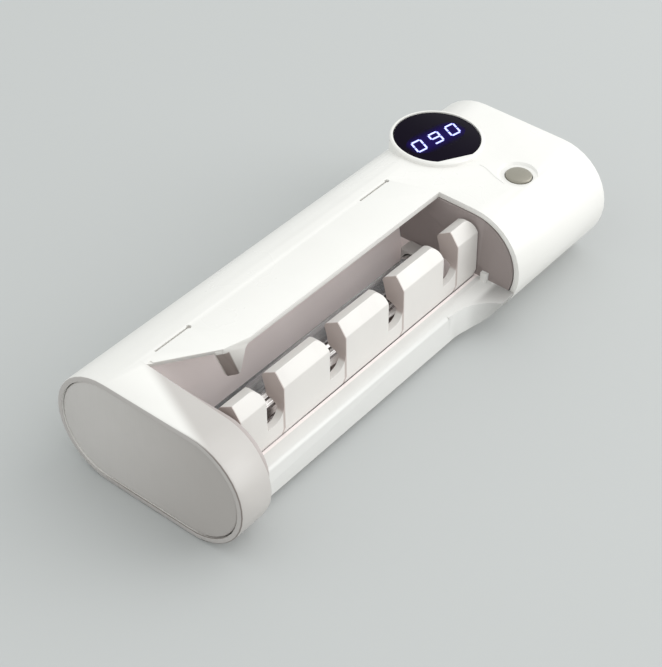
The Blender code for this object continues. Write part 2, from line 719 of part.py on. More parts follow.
def add_tab(case):
    """The pointed tab that hangs from the long edge of the window."""
    top = CASE_HEIGHT - CASE_WALL / 2
    shoulder = CASE_HEIGHT - TAB_SHOULDER_DROP
    tip = CASE_HEIGHT - TAB_DROP
    low = tip + TAB_TIP_WIDTH / 2
    left = X_WIN_NEAR + TAB_SETBACK + GAP
    right = left - GAP + TAB_LENGTH
    tip_left = left + TAB_TIP_SETBACK
    tip_right = tip_left + TAB_TIP_WIDTH
    shoulder_right = right - TAB_SHOULDER_INSET
    left_slope = (tip_left - left) / (top - low)
    right_slope = (shoulder_right - tip_right) / (shoulder - tip)
    tab = loft("tab_solid", [
        tab_section(left, right, top),
        tab_section(left + (top - shoulder) * left_slope, shoulder_right, shoulder),
        tab_section(tip_left, tip_right + (low - tip) * right_slope, low),
        tab_section(tip_left + TAB_TIP_WIDTH / 4, tip_right, tip),
    ])
    join(case, tab)


def add_tower(case):
    """The round tower that carries the display, stepped inside for the lens and its board."""
    top = CASE_HEIGHT + TOWER_RISE
    foot = top - TOWER_DEPTH
    tower = turned(
        "tower_solid",
        [
            (0, top),
            (TOWER_RADIUS - CASE_EDGE, top),
            (TOWER_RADIUS, top - CASE_EDGE),
            (TOWER_RADIUS, foot),
            (0, foot),
        ],
        TOWER_CENTRE,
    )
    lens_pocket = prism(
        "lens_pocket_cutter", "XY", [chord_outline(LENS_RADIUS + GAP, LENS_FLAT)], LENS_SEAT_Z,
        top + OVERRUN,
    )
    lip_top = foot + TOWER_LIP_HEIGHT
    bore = turned(
        "tower_bore_cutter",
        [
            (0, LENS_SEAT_Z + LENS_THICKNESS / 2),
            (TOWER_BORE, LENS_SEAT_Z + LENS_THICKNESS / 2),
            (TOWER_BORE, lip_top),
            (TOWER_BORE - TOWER_LIP, lip_top),
            (TOWER_BORE - TOWER_LIP, foot - OVERRUN),
            (0, foot - OVERRUN),
        ],
        TOWER_CENTRE,
        turn=(0, 0, math.pi / ROUND_STEPS),
    )
    join(case, tower)
    cut(case, lens_pocket, bore)


def add_button_guide(case):
    """The shallow dish round the power button, and the tube inside that guides it."""
    bore = BUTTON_RADIUS + GAP
    guide_foot = CASE_HEIGHT - GUIDE_DEPTH
    guide = rod(
        "guide_solid",
        BUTTON_CENTRE + Vector((0, 0, guide_foot)),
        BUTTON_CENTRE + Vector((0, 0, CASE_HEIGHT - CASE_WALL / 2)),
        bore + GUIDE_WALL,
        ROUND_STEPS // 2,
    )
    dish = turned(
        "dish_cutter",
        [
            (0, CASE_HEIGHT + OVERRUN),
            (DISH_RADIUS, CASE_HEIGHT + OVERRUN),
            (DISH_RADIUS, CASE_HEIGHT),
            (DISH_RADIUS - DISH_SLOPE, CASE_HEIGHT - DISH_DEPTH),
            (0, CASE_HEIGHT - DISH_DEPTH),
        ],
        BUTTON_CENTRE,
        turn=(0, 0, math.pi / ROUND_STEPS),
    )
    hole = rod(
        "button_hole_cutter",
        BUTTON_CENTRE + Vector((0, 0, guide_foot - OVERRUN)),
        BUTTON_CENTRE + Vector((0, 0, CASE_HEIGHT + OVERRUN)),
        bore,
        ROUND_STEPS // 2,
    )
    join(case, guide)
    cut(case, dish, hole)


def screw_hole(name, x, y, low, high):
    """A clearance hole for a screw's shank."""
    return rod(name, (x, y, low), (x, y, high), SCREW_SHANK_RADIUS + GAP, SCREW_STEPS)


def add_posts(case):
    """Posts for the boards, and holes in the back for the screws that hold chassis and cradle."""
    for kind, places, top in (
        ("main", MAIN_POST_PLACES, MAIN_BOARD_Z),
        ("driver", DRIVER_POST_PLACES, DRIVER_Z),
    ):
        for index, (x, y) in enumerate(places):
            low = stadium_z(abs(y) + POST_RADIUS, CASE_WALL / 2, top=False)
            join(case, rod(f"{kind}_post_{index}", (x, y, low), (x, y, top - GAP), POST_RADIUS))
            low = top + BOARD_THICKNESS - SCREW_LENGTH - GAP
            cut(case, screw_hole(f"{kind}_post_hole_{index}", x, y, low, top + OVERRUN))
    foot = SWITCH_BOARD_TOP + GAP
    tip = SWITCH_BOARD_BOTTOM - GAP + SCREW_LENGTH
    for index, (x, y) in enumerate(SWITCH_POST_PLACES):
        high = stadium_z(abs(y) + POST_RADIUS, CASE_WALL / 2)
        join(case, rod(f"switch_post_{index}", (x, y, foot), (x, y, high), POST_RADIUS))
        cut(case, screw_hole(f"switch_post_hole_{index}", x, y, foot - OVERRUN, tip + GAP))
    for index, (x, y) in enumerate(CHASSIS_SCREW_PLACES + CRADLE_SCREW_PLACES):
        cut(
            case,
            screw_hole(f"back_hole_{index}", x, y, -OVERRUN, CASE_WALL + OVERRUN),
            rod(f"back_sink_{index}", (x, y, -OVERRUN), (x, y, SCREW_SINK), SCREW_HEAD_RADIUS + GAP),
        )


def pocket_box(name, half_length, half_width, low, high, travel=WALL_PLATE_TRAVEL):
    """A box round the wall plate's middle, lengthened towards -Y by the way the plate slides."""
    return box(
        name,
        (POCKET_X - half_length, WALL_PLATE_Y - half_width - travel, low),
        (POCKET_X + half_length, WALL_PLATE_Y + half_width, high),
    )


def add_wall_pocket(case):
    """The pocket in the back for the wall plate, whose tongues slide behind a lip at each end."""
    half = WALL_PLATE_LENGTH / 2 + GAP
    body = half - TONGUE_LENGTH
    across = WALL_PLATE_WIDTH / 2 + GAP
    tongue = TONGUE_WIDTH / 2 + GAP
    roof = POCKET_TOP_Z + POCKET_ROOF
    join(case, pocket_box("pocket_solid", half + POCKET_ROOF, across + POCKET_ROOF, CASE_WALL / 2, roof))
    cut(
        case,
        pocket_box("pocket_mouth_cutter", body, across, -OVERRUN, POCKET_TOP_Z),
        pocket_box("tongue_groove_cutter", half, tongue, POCKET_LIP, PLATE_TOP_Z + GAP),
        box(
            "tongue_notch_cutter",
            (POCKET_X - half + GAP / 2, WALL_PLATE_Y - tongue - WALL_PLATE_TRAVEL + GAP / 2, -OVERRUN),
            (POCKET_X + half - GAP / 2, WALL_PLATE_Y + tongue - WALL_PLATE_TRAVEL, PLATE_TOP_Z),
        ),
    )


def make_end_plate(side):
    """A flat plate set into one end of the sleeve."""
    outside = X_NEAR + PLATE_INSET if side == "near" else X_FAR - PLATE_INSET
    inside = outside + (PLATE_THICKNESS if side == "near" else -PLATE_THICKNESS)
    plate = prism(
        f"end_plate_{side}", "YZ", [stadium(PLATE_RIM + GAP)],
        min(outside, inside), max(outside, inside),
    )
    edge = plate.modifiers.new("Edges", "BEVEL")
    edge.width = GAP
    edge.segments = 1
    edge.limit_method = "ANGLE"
    edge.angle_limit = math.radians(EDGE_ANGLE)
    if side == "far":
        cut(plate, box(
            "usb_plate_cutter",
            (X_FAR - OVERRUN * 2, -USB_WIDTH / 2 - GAP, USB_Z - GAP),
            (X_FAR + OVERRUN, USB_WIDTH / 2 + GAP, USB_Z + USB_HEIGHT + GAP),
        ))
    return finish(plate, "satin", 0.45, 0.3)


def chassis_outline():
    """The chassis' section: rail, lamp floor and the chamber's leaning back wall."""
    lean = WALL_LEAN / (WALL_TOP_Z - FLOOR_Z)
    wall_across = CHASSIS_WALL * math.hypot(1, lean)
    corner_angle = 180 + math.degrees(math.acos(RAIL_FROM_AXIS / RADIUS))
    seam_y = SEAM_Y - GAP
    foot = arc(-AXIS_Y, RADIUS, RADIUS, corner_angle, 270, CORNER_STEPS)
    ledge = arc(RAIL_Y + LEDGE_EDGE, LEDGE_Z - LEDGE_EDGE, LEDGE_EDGE, 90, 180, 3)
    return foot + [
        (seam_y, 0),
        (seam_y, FLOOR_BOTTOM_Z),
        (WALL_FOOT_Y + wall_across, FLOOR_BOTTOM_Z),
        (WALL_TOP_Y + wall_across, WALL_TOP_Z),
        (WALL_TOP_Y, WALL_TOP_Z),
        (WALL_FOOT_Y, FLOOR_Z),
        (RAIL_INNER_Y, FLOOR_Z),
        (RAIL_INNER_Y, LEDGE_Z),
    ] + ledge


def chassis_fillet():
    """The end of the rail, which swells in a hollow curve to the section of the closed block."""
    end = CHASSIS_FAR + GAP
    middle = X_WIN_FAR - GAP - CORNER_FILLET_FLAT - CORNER_FILLET_RADIUS
    inner = RAIL_Y + CHASSIS_WALL
    outer = RAIL_Y - CORNER_FILLET_RADIUS
    outline = [(middle - OVERRUN, inner), (middle - OVERRUN, RAIL_Y)]
    outline += arc(middle, outer, CORNER_FILLET_RADIUS, 90, 0, CORNER_STEPS * 2)
    outline += [(end, outer), (end, inner)]
    block = prism("rail_fillet", "XY", [outline], 0, LEDGE_Z)
    limit = prism(
        "rail_fillet_limit", "YZ", [stadium(GAP / 2)], middle - 2 * OVERRUN, end + OVERRUN
    )
    return keep(block, limit)


def make_chassis():
    """The moulding inside the sleeve: chamber, rail, bulkheads and feet."""
    chassis = prism("chassis", "YZ", [chassis_outline()], CHASSIS_NEAR, CHASSIS_FAR)
    near_margin = FLARE_DEPTH + NEAR_BULKHEAD_MARGIN
    past = CASE_WIDTH
    stop_y = RAIL_Y + LEDGE_EDGE
    feet = [
        rod(f"chassis_foot_{index}", (x, y, CASE_WALL + GAP), (x, y, FLOOR_Z - GAP), POST_RADIUS)
        for index, (x, y) in enumerate(CHASSIS_SCREW_PLACES)
    ]
    join(chassis, chassis_fillet())
    cut(chassis, box("far_end_cutter", (X_WIN_FAR - GAP, -past, -past), (X_FAR, past, past)))
    join(
        chassis,
        prism("near_bulkhead", "YZ", [stadium(near_margin)], CHASSIS_NEAR + GAP, BULKHEAD_NEAR),
        prism("far_bulkhead", "YZ", [stadium(CASE_WALL + GAP)], BULKHEAD_FAR, CHASSIS_FAR),
        box(
            "rack_stop",
            (BULKHEAD_FAR - RACK_STOP_LENGTH, stop_y, LEDGE_Z - LEDGE_EDGE),
            (BULKHEAD_FAR + GAP / 2, stop_y + RACK_STOP_WIDTH - GAP, LEDGE_Z + RACK_STOP_HEIGHT),
        ),
        *feet,
    )
    groove_y = RACK_FACE_Y + RACK_FOOT_INSET
    cable_y = SIDE_Y - CABLE_HOLE_FROM_SIDE - CABLE_HOLE_WIDTH
    cut(
        chassis,
        box(
            "groove_cutter",
            (RACK_NEAR - GAP, groove_y - GAP, LEDGE_Z - GROOVE_DEPTH),
            (RACK_FAR + GAP, groove_y + GROOVE_WIDTH - GAP, LEDGE_Z + OVERRUN),
        ),
        box(
            "rail_tunnel_cutter",
            (X_NEAR, RAIL_Y + CHASSIS_WALL, FLOOR_BOTTOM_Z),
            (X_FAR, RAIL_INNER_Y - CHASSIS_WALL, LEDGE_Z - GROOVE_DEPTH - CHASSIS_WALL),
        ),
        box(
            "cable_hole_cutter",
            (BULKHEAD_FAR - OVERRUN, cable_y, RADIUS - CABLE_HOLE_HEIGHT / 2),
            (CHASSIS_FAR + OVERRUN, cable_y + CABLE_HOLE_WIDTH, RADIUS + CABLE_HOLE_HEIGHT / 2),
        ),
        *[
            screw_hole(f"chassis_hole_{index}", x, y, 0, BACK_SCREW_Z + SCREW_LENGTH + GAP)
            for index, (x, y) in enumerate(CHASSIS_SCREW_PLACES)
        ],
    )
    return finish(chassis, "liner", 0.4)


def rack_outline():
    """The rack's section: tongue, thin leaning web and a thick peaked head that points inwards."""
    bottom = LEDGE_Z + GAP
    tongue = RACK_FACE_Y + RACK_FOOT_INSET
    tongue_far = tongue + GROOVE_WIDTH - 2 * GAP
    top_face = RACK_FACE_Y + RACK_LEAN
    web = RACK_FACE_Y + RACK_WEB
    head = top_face + RACK_HEAD_DEPTH
    peak = top_face + RACK_PEAK_IN
    return [
        (tongue, LEDGE_Z - GROOVE_DEPTH + GAP),
        (tongue_far, LEDGE_Z - GROOVE_DEPTH + GAP),
        (tongue_far, bottom),
        (web, bottom + RACK_FOOT_TURN),
        (web + RACK_LEAN, RACK_HEAD_UNDERSIDE_Z - RACK_INNER_STEP),
        (web + RACK_LEAN + RACK_WEB, RACK_HEAD_UNDERSIDE_Z),
        (head - RACK_WEB, RACK_HEAD_UNDERSIDE_Z + RACK_INNER_ROUND),
        (head - RACK_INNER_STEP, RACK_INNER_TOP_Z - 2 * RACK_WEB),
        (head, RACK_INNER_TOP_Z - RACK_INNER_STEP),
        (head - RACK_INNER_ROUND, RACK_INNER_TOP_Z),
        (peak, RACK_TOP_Z),
        (peak - RACK_PEAK_BEVEL, RACK_TOP_Z - RACK_PEAK_BEVEL),
        (top_face + RACK_INNER_ROUND / 2, RACK_HEAD_Z + RACK_INNER_ROUND),
        (top_face, RACK_HEAD_Z),
        (RACK_FACE_Y, bottom + RACK_FOOT_TURN),
        (tongue, bottom),
    ]


def slot_outline(middle):
    """One slot: square at its near foot, round at its far foot, with a round tooth before it."""
    near = middle - SLOT_WIDTH / 2
    far = middle + SLOT_WIDTH / 2
    high = CASE_HEIGHT + OVERRUN
    tooth_z = RACK_TOP_Z - TOOTH_CORNER
    outline = [(near, SLOT_FLOOR_Z)]
    outline += arc(far - SLOT_CORNER, SLOT_FLOOR_Z + SLOT_CORNER, SLOT_CORNER, -90, 0, CORNER_STEPS)
    outline += [(far, high), (near - TOOTH_CORNER - OVERRUN, high)]
    outline += arc(near - TOOTH_CORNER, tooth_z, TOOTH_CORNER, ROUND_START, 0, CORNER_STEPS)
    return outline


def make_rack():
    """The lift-out brush rack, one comb of five teeth that stands in the rail's groove."""
    rack = prism("brush_rack", "YZ", [rack_outline()], RACK_NEAR, RACK_FAR)
    first = RACK_NEAR + RACK_END_TOOTH + SLOT_WIDTH / 2
    inner, outer = RACK_FACE_Y - OVERRUN, RACK_FACE_Y + RACK_HEAD_DEPTH + 2 * OVERRUN
    for index in range(SLOT_COUNT):
        middle = first + index * SLOT_PITCH
        cut(rack, prism(f"slot_cutter_{index}", "XZ", [slot_outline(middle)], inner, outer))
    high = CASE_HEIGHT + OVERRUN
    start = RACK_FAR - TOOTH_CORNER
    corner = [(RACK_FAR + OVERRUN, high), (start - OVERRUN, high)]
    corner += arc(start, RACK_TOP_Z - TOOTH_CORNER, TOOTH_CORNER, ROUND_START, 0, CORNER_STEPS)
    corner += [(RACK_FAR + OVERRUN, RACK_TOP_Z - TOOTH_CORNER)]
    cut(rack, prism("rack_corner_cutter", "XZ", [corner], inner, outer))
    rack = finish(rack, "white", 0.35)
    place_origin(rack, Vector(((RACK_NEAR + RACK_FAR) / 2, RACK_FACE_Y, LEDGE_Z)))
    return rack


def place_origin(item, point):
    """Moves an object's origin to a point on its joint's axis, and leaves its shape in place."""
    item.data.transform(Matrix.Translation(-point))
    item.location = item.location + point


USB_Z = MAIN_BOARD_Z + BOARD_THICKNESS + GAP


def make_reflector():
    """The fluted polished sheet on the chamber floor."""
    start = RAIL_INNER_Y + CHASSIS_WALL / 2
    end = WALL_FOOT_Y - GAP
    top = []
    for index in range(2 * FLUTE_COUNT + 1):
        y = start + (end - start) * index / (2 * FLUTE_COUNT)
        top.append((y, REFLECTOR_Z + REFLECTOR_SHEET + (FLUTE_HEIGHT if index % 2 else 0)))
    bottom = [(start, REFLECTOR_Z), (end, REFLECTOR_Z)]
    outline = bottom + top[::-1]
    sheet = prism("reflector", "YZ", [outline], BULKHEAD_NEAR + GAP, BULKHEAD_FAR - GAP)
    for side, x in (("near", LAMP_NEAR_HOLDER), ("far", LAMP_FAR_HOLDER)):
        cut(sheet, box(
            f"reflector_{side}_cutter",
            (x - GAP, LAMP_Y - HOLDER_WIDTH / 2 - GAP, 0),
            (x + HOLDER_LENGTH + GAP, LAMP_Y + HOLDER_WIDTH / 2 + GAP, LAMP_Z),
        ))
    return finish(sheet, "steel", 0.12, 1.0)


LAMP_NEAR_HOLDER = BULKHEAD_NEAR + HOLDER_NEAR_SETBACK
LAMP_FAR_HOLDER = BULKHEAD_FAR - GAP - HOLDER_LENGTH
CAP_RADIUS = LAMP_RADIUS + LAMP_CAP_EXTRA_RADIUS


def make_lamp():
    """The lamp tube, its two metal caps and the sockets that hold them."""
    mouth_near = LAMP_NEAR_HOLDER + HOLDER_LENGTH
    mouth_far = LAMP_FAR_HOLDER
    cap_near = mouth_near - HOLDER_SOCKET_DEPTH + GAP
    cap_far = mouth_far + HOLDER_SOCKET_DEPTH - GAP
    glass_near = cap_near + LAMP_CAP_LENGTH
    glass_far = cap_far - LAMP_CAP_LENGTH
    tube = rod(
        "uv_lamp", (glass_near, LAMP_Y, LAMP_Z), (glass_far, LAMP_Y, LAMP_Z), LAMP_RADIUS,
    )
    finish(tube, "glass", 0.05)
    for side, low, high in (("near", cap_near, glass_near - GAP), ("far", glass_far + GAP, cap_far)):
        cap = rod(f"lamp_cap_{side}", (low, LAMP_Y, LAMP_Z), (high, LAMP_Y, LAMP_Z), CAP_RADIUS)
        finish(cap, "steel", 0.25, 1.0)
    for side, x in (("near", LAMP_NEAR_HOLDER), ("far", LAMP_FAR_HOLDER)):
        holder = box(
            f"lamp_holder_{side}",
            (x, LAMP_Y - HOLDER_WIDTH / 2, FLOOR_Z + GAP),
            (x + HOLDER_LENGTH, LAMP_Y + HOLDER_WIDTH / 2, LAMP_Z + HOLDER_WIDTH / 2),
        )
        edge = holder.modifiers.new("Edges", "BEVEL")
        edge.width = CASE_EDGE
        edge.segments = 1
        low = mouth_near - HOLDER_SOCKET_DEPTH if side == "near" else mouth_far - OVERRUN
        high = mouth_near + OVERRUN if side == "near" else mouth_far + HOLDER_SOCKET_DEPTH
        cut(holder, rod(
            f"socket_{side}_cutter", (low, LAMP_Y, LAMP_Z), (high, LAMP_Y, LAMP_Z), CAP_RADIUS + GAP,
        ))
        finish(holder, "liner", 0.5)


def make_display():
    """The black lens, the lit block under it and the round board that carries the block."""
    top = CASE_HEIGHT + TOWER_RISE
    lip_top = top - TOWER_DEPTH + TOWER_LIP_HEIGHT
    lens = prism(
        "display_lens", "XY", [chord_outline(LENS_RADIUS, LENS_FLAT)], LENS_SEAT_Z + GAP, LENS_TOP_Z
    )
    finish(lens, "black", 0.08)
    low = lip_top + GAP
    rim = TOWER_BORE - GAP
    board = turned(
        "display_board",
        [(0, low + BOARD_THICKNESS), (rim, low + BOARD_THICKNESS), (rim, low), (0, low)],
        TOWER_CENTRE,
    )
    finish(board, "green", 0.5)
    middle = TOWER_CENTRE
    half = TOWER_BORE - DISPLAY_END_SPACE
    block = box(
        "display_module",
        (middle.x - half, middle.y - DISPLAY_WIDTH / 2, low + BOARD_THICKNESS + GAP),
        (middle.x + half, middle.y + DISPLAY_WIDTH / 2, LENS_SEAT_Z),
    )
    finish(block, "dark", 0.4)


def make_button():
    """The metal power button, its plunger, and the switch with its board under them."""
    crown = CASE_HEIGHT + BUTTON_DOME
    flange_low = BUTTON_FLANGE_TOP - FLANGE_THICKNESS
    flange = BUTTON_RADIUS + FLANGE_EXTRA
    profile = [
        (0, crown),
        (BUTTON_RADIUS / 2, crown - BUTTON_DOME / 4),
        (BUTTON_RADIUS - BUTTON_DOME, CASE_HEIGHT),
        (BUTTON_RADIUS, CASE_HEIGHT - BUTTON_DOME),
        (BUTTON_RADIUS, BUTTON_FLANGE_TOP),
        (flange, BUTTON_FLANGE_TOP),
        (flange, flange_low),
        (0, flange_low),
    ]
    rest = Vector((0, 0, crown))
    button = turned("power_button", [(r, z - crown) for r, z in profile], BUTTON_CENTRE + rest)
    finish(button, "steel", 0.35, 0.9)
    plunger = rod(
        "switch_plunger",
        BUTTON_CENTRE + Vector((0, 0, PLUNGER_TOP - PLUNGER_LENGTH)),
        BUTTON_CENTRE + Vector((0, 0, PLUNGER_TOP)),
        PLUNGER_RADIUS,
    )
    finish(plunger, "dark", 0.5)
    place_origin(plunger, BUTTON_CENTRE + Vector((0, 0, PLUNGER_TOP)))
    half = SWITCH_SIZE / 2
    body = box(
        "button_switch",
        BUTTON_CENTRE + Vector((-half, -half, SWITCH_BOARD_TOP + GAP)),
        BUTTON_CENTRE + Vector((half, half, SWITCH_TOP)),
    )
    well = PLUNGER_TOP - PLUNGER_LENGTH - BUTTON_TRAVEL - GAP
    cut(body, rod(
        "switch_well_cutter",
        BUTTON_CENTRE + Vector((0, 0, well)),
        BUTTON_CENTRE + Vector((0, 0, SWITCH_TOP + OVERRUN)),
        PLUNGER_RADIUS + GAP,
    ))
    finish(body, "steel", 0.4, 0.6)
    half_length = SWITCH_BOARD_LENGTH / 2
    half_width = SWITCH_BOARD_WIDTH / 2
    board = box(
        "switch_board",
        SWITCH_BOARD_CENTRE + Vector((-half_length, -half_width, SWITCH_BOARD_BOTTOM)),
        SWITCH_BOARD_CENTRE + Vector((half_length, half_width, SWITCH_BOARD_TOP)),
    )
    for index, (x, y) in enumerate(SWITCH_POST_PLACES):
        cut(board, screw_hole(
            f"switch_board_hole_{index}", x, y, SWITCH_BOARD_BOTTOM - OVERRUN, SWITCH_BOARD_TOP + OVERRUN,
        ))
        screw(f"switch_board_screw_{index + 1}", (x, y, SWITCH_BOARD_BOTTOM - GAP), (math.pi, 0, 0))
    finish(board, "green", 0.5)


def make_battery():
    """The rechargeable cell and the cradle that holds it behind the chamber."""
    tip = CELL_FAR + CELL_TIP_HEIGHT
    cell = turned(
        "battery_cell",
        [
            (0, tip - CELL_NEAR),
            (CELL_TIP_RADIUS, tip - CELL_NEAR),
            (CELL_TIP_RADIUS, CELL_LENGTH),
            (CELL_RADIUS - CASE_EDGE, CELL_LENGTH),
            (CELL_RADIUS, CELL_LENGTH - CASE_EDGE),
            (CELL_RADIUS, 0),
            (0, 0),
        ],
        (CELL_NEAR, CELL_Y, RADIUS),
        ROUND_STEPS // 2,
        (0, math.pi / 2, 0),
    )
    finish(cell, "blue", 0.35)
    side = CRADLE_SIDE_Y
    base = CASE_WALL + GAP
    cradle = box(
        "battery_cradle", (CRADLE_NEAR, side, base), (CRADLE_FAR, CASE_WIDTH / 2, base + CRADLE_HEIGHT)
    )
    keep(cradle, prism(
        "cradle_limit", "YZ", [stadium(CASE_WALL + GAP)], CRADLE_NEAR - OVERRUN, CRADLE_FAR + OVERRUN
    ))
    cell_space = rod(
        "cell_space_cutter",
        (CELL_NEAR - GAP, CELL_Y, RADIUS), (tip + GAP, CELL_Y, RADIUS), CELL_RADIUS + GAP,
        ROUND_STEPS // 2,
    )
    middle = box(
        "cradle_middle_cutter",
        (CRADLE_NEAR + CRADLE_SADDLE, side - OVERRUN, base + CRADLE_WEB_HEIGHT),
        (CRADLE_FAR - CRADLE_SADDLE, CASE_WIDTH, CASE_HEIGHT),
    )
    cut(cradle, cell_space, middle)
    for index, (x, y) in enumerate(CRADLE_SCREW_PLACES):
        cut(cradle, screw_hole(f"cradle_hole_{index}", x, y, 0, BACK_SCREW_Z + SCREW_LENGTH + GAP))
    finish(cradle, "dark", 0.5)


def board_with_holes(name, low, high, places):
    """A circuit board with a hole at each of its screws."""
    board = box(name, low, high)
    for index, (x, y) in enumerate(places):
        cut(board, screw_hole(f"{name}_hole_{index}", x, y, low[2] - OVERRUN, high[2] + OVERRUN))
    return finish(board, "green", 0.5)


def make_boards():
    """The main board with its chip and charging socket, and the lamp driver with its transformer."""
    near, far = MAIN_BOARD_NEAR, MAIN_BOARD_FAR
    half = MAIN_BOARD_WIDTH / 2
    top = MAIN_BOARD_Z + BOARD_THICKNESS
    board_with_holes("main_board", (near, -half, MAIN_BOARD_Z), (far, half, top), MAIN_POST_PLACES)
    for index, (x, y) in enumerate(MAIN_POST_PLACES):
        screw(f"main_board_screw_{index + 1}", (x, y, top + GAP))
    middle = (near + far) / 2
    chip = box(
        "controller_chip",
        (middle - CHIP_LENGTH, -CHIP_WIDTH / 2, top + GAP),
        (middle, CHIP_WIDTH / 2, top + GAP + CHIP_HEIGHT),
    )
    finish(chip, "dark", 0.5)
    make_usb_socket(top + GAP)

    low = (DRIVER_NEAR, DRIVER_Y - DRIVER_WIDTH / 2, DRIVER_Z)
    top = DRIVER_Z + BOARD_THICKNESS
    high = (DRIVER_FAR, DRIVER_Y + DRIVER_WIDTH / 2, top)
    board_with_holes("lamp_driver_board", low, high, DRIVER_POST_PLACES)
    for index, (x, y) in enumerate(DRIVER_POST_PLACES):
        screw(f"driver_board_screw_{index + 1}", (x, y, top + GAP))
    middle = (DRIVER_NEAR + DRIVER_FAR) / 2
    half = TRANSFORMER_LENGTH / 2
    side = TRANSFORMER_WIDTH / 2
    block = box(
        "driver_transformer",
        (middle - half, DRIVER_Y - side, top + GAP),
        (middle + half, DRIVER_Y + side, top + GAP + TRANSFORMER_HEIGHT),
    )
    finish(block, "ferrite", 0.5)


def rounded_rectangle(width, low, high, radius):
    """An outline in Y and Z with round corners, centred across."""
    right, left = width / 2 - radius, radius - width / 2
    outline = arc(right, low + radius, radius, -90, 0, CORNER_STEPS)
    outline += arc(right, high - radius, radius, 0, 90, CORNER_STEPS)
    outline += arc(left, high - radius, radius, 90, 180, CORNER_STEPS)
    outline += arc(left, low + radius, radius, 180, 270, CORNER_STEPS)
    return outline


def make_usb_socket(low):
    """The charging socket, a metal shell with a closed back and a tongue inside."""
    high = low + USB_HEIGHT
    far = X_FAR - PLATE_INSET
    near = far - USB_LENGTH
    outside = rounded_rectangle(USB_WIDTH, low, high, USB_RADIUS)
    inside = rounded_rectangle(
        USB_WIDTH - 2 * USB_WALL, low + USB_WALL, high - USB_WALL, USB_RADIUS - USB_WALL
    )
    shell = prism("usb_socket", "YZ", [outside], near, far)
    hollow = prism("usb_hollow_cutter", "YZ", [inside], near + 2 * USB_WALL, far + OVERRUN)
    middle = (low + high) / 2
    tongue = box(
        "usb_tongue",
        (near + USB_WALL, -USB_TONGUE_WIDTH / 2, middle - USB_WALL),
        (far - 3 * USB_WALL, USB_TONGUE_WIDTH / 2, middle + USB_WALL),
    )
    cut(shell, hollow)
    join(shell, tongue)
    finish(shell, "steel", 0.3, 1.0)


def make_wall_plate():
    """The plate that stays on the wall, with a tongue at each end, and its adhesive pad."""
    half = WALL_PLATE_LENGTH / 2
    body = half - TONGUE_LENGTH
    across = WALL_PLATE_WIDTH / 2
    tongue = TONGUE_WIDTH / 2
    quarter = [(body, -across), (body, -tongue), (half, -tongue)]
    outline = quarter + [(x, -y) for x, y in quarter[::-1]]
    outline += [(-x, -y) for x, y in outline]
    outline = [(POCKET_X + x, WALL_PLATE_Y + y) for x, y in outline]
    point = Vector((POCKET_X, WALL_PLATE_Y, PLATE_BOTTOM_Z))
    plate = prism("wall_plate", "XY", [outline], PLATE_BOTTOM_Z, PLATE_TOP_Z)
    finish(plate, "steel", 0.35, 0.9)
    place_origin(plate, point)
    inner, edge = body - PAD_MARGIN, across - PAD_MARGIN
    pad = box(
        "adhesive_pad",
        (POCKET_X - inner, WALL_PLATE_Y - edge, PAD_RECESS),
        (POCKET_X + inner, WALL_PLATE_Y + edge, PLATE_BOTTOM_Z - GAP),
    )
    finish(pad, "foam", 0.8)
    place_origin(pad, point)


def make_back_screws():
    """The screws that hold the chassis and the cradle, driven from the back."""
    for index, (x, y) in enumerate(CHASSIS_SCREW_PLACES):
        screw(f"chassis_screw_{index + 1}", (x, y, BACK_SCREW_Z), (math.pi, 0, 0))
    for index, (x, y) in enumerate(CRADLE_SCREW_PLACES):
        screw(f"cradle_screw_{index + 1}", (x, y, BACK_SCREW_Z), (math.pi, 0, 0))


clear_scene()
PART = new_collection("uv_toothbrush_sanitizer")
CUTTERS = new_collection("Cutters")
make_casing()
make_end_plate("near")
make_end_plate("far")
make_chassis()
make_rack()
make_reflector()
make_lamp()
make_display()
make_button()
make_battery()
make_boards()
make_wall_plate()
make_back_screws()
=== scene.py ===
# %% [markdown]
# # A wall-hung toothbrush sanitizer
# The object is a white plastic sleeve of stadium section, 197 mm long, lying on its flat back.
# A window cut in the sleeve opens the brush chamber, with a slotted rack, a lamp tube and a fluted
# reflector. The closed block at the far end carries a round black display and a power button.
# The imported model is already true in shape, so it stays as it is and this script adds what makes it
# look real: finishes, softened edges, the lit numbers and one small raised line.

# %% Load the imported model
import math

import bmesh
import bpy
from mathutils import Matrix, Vector


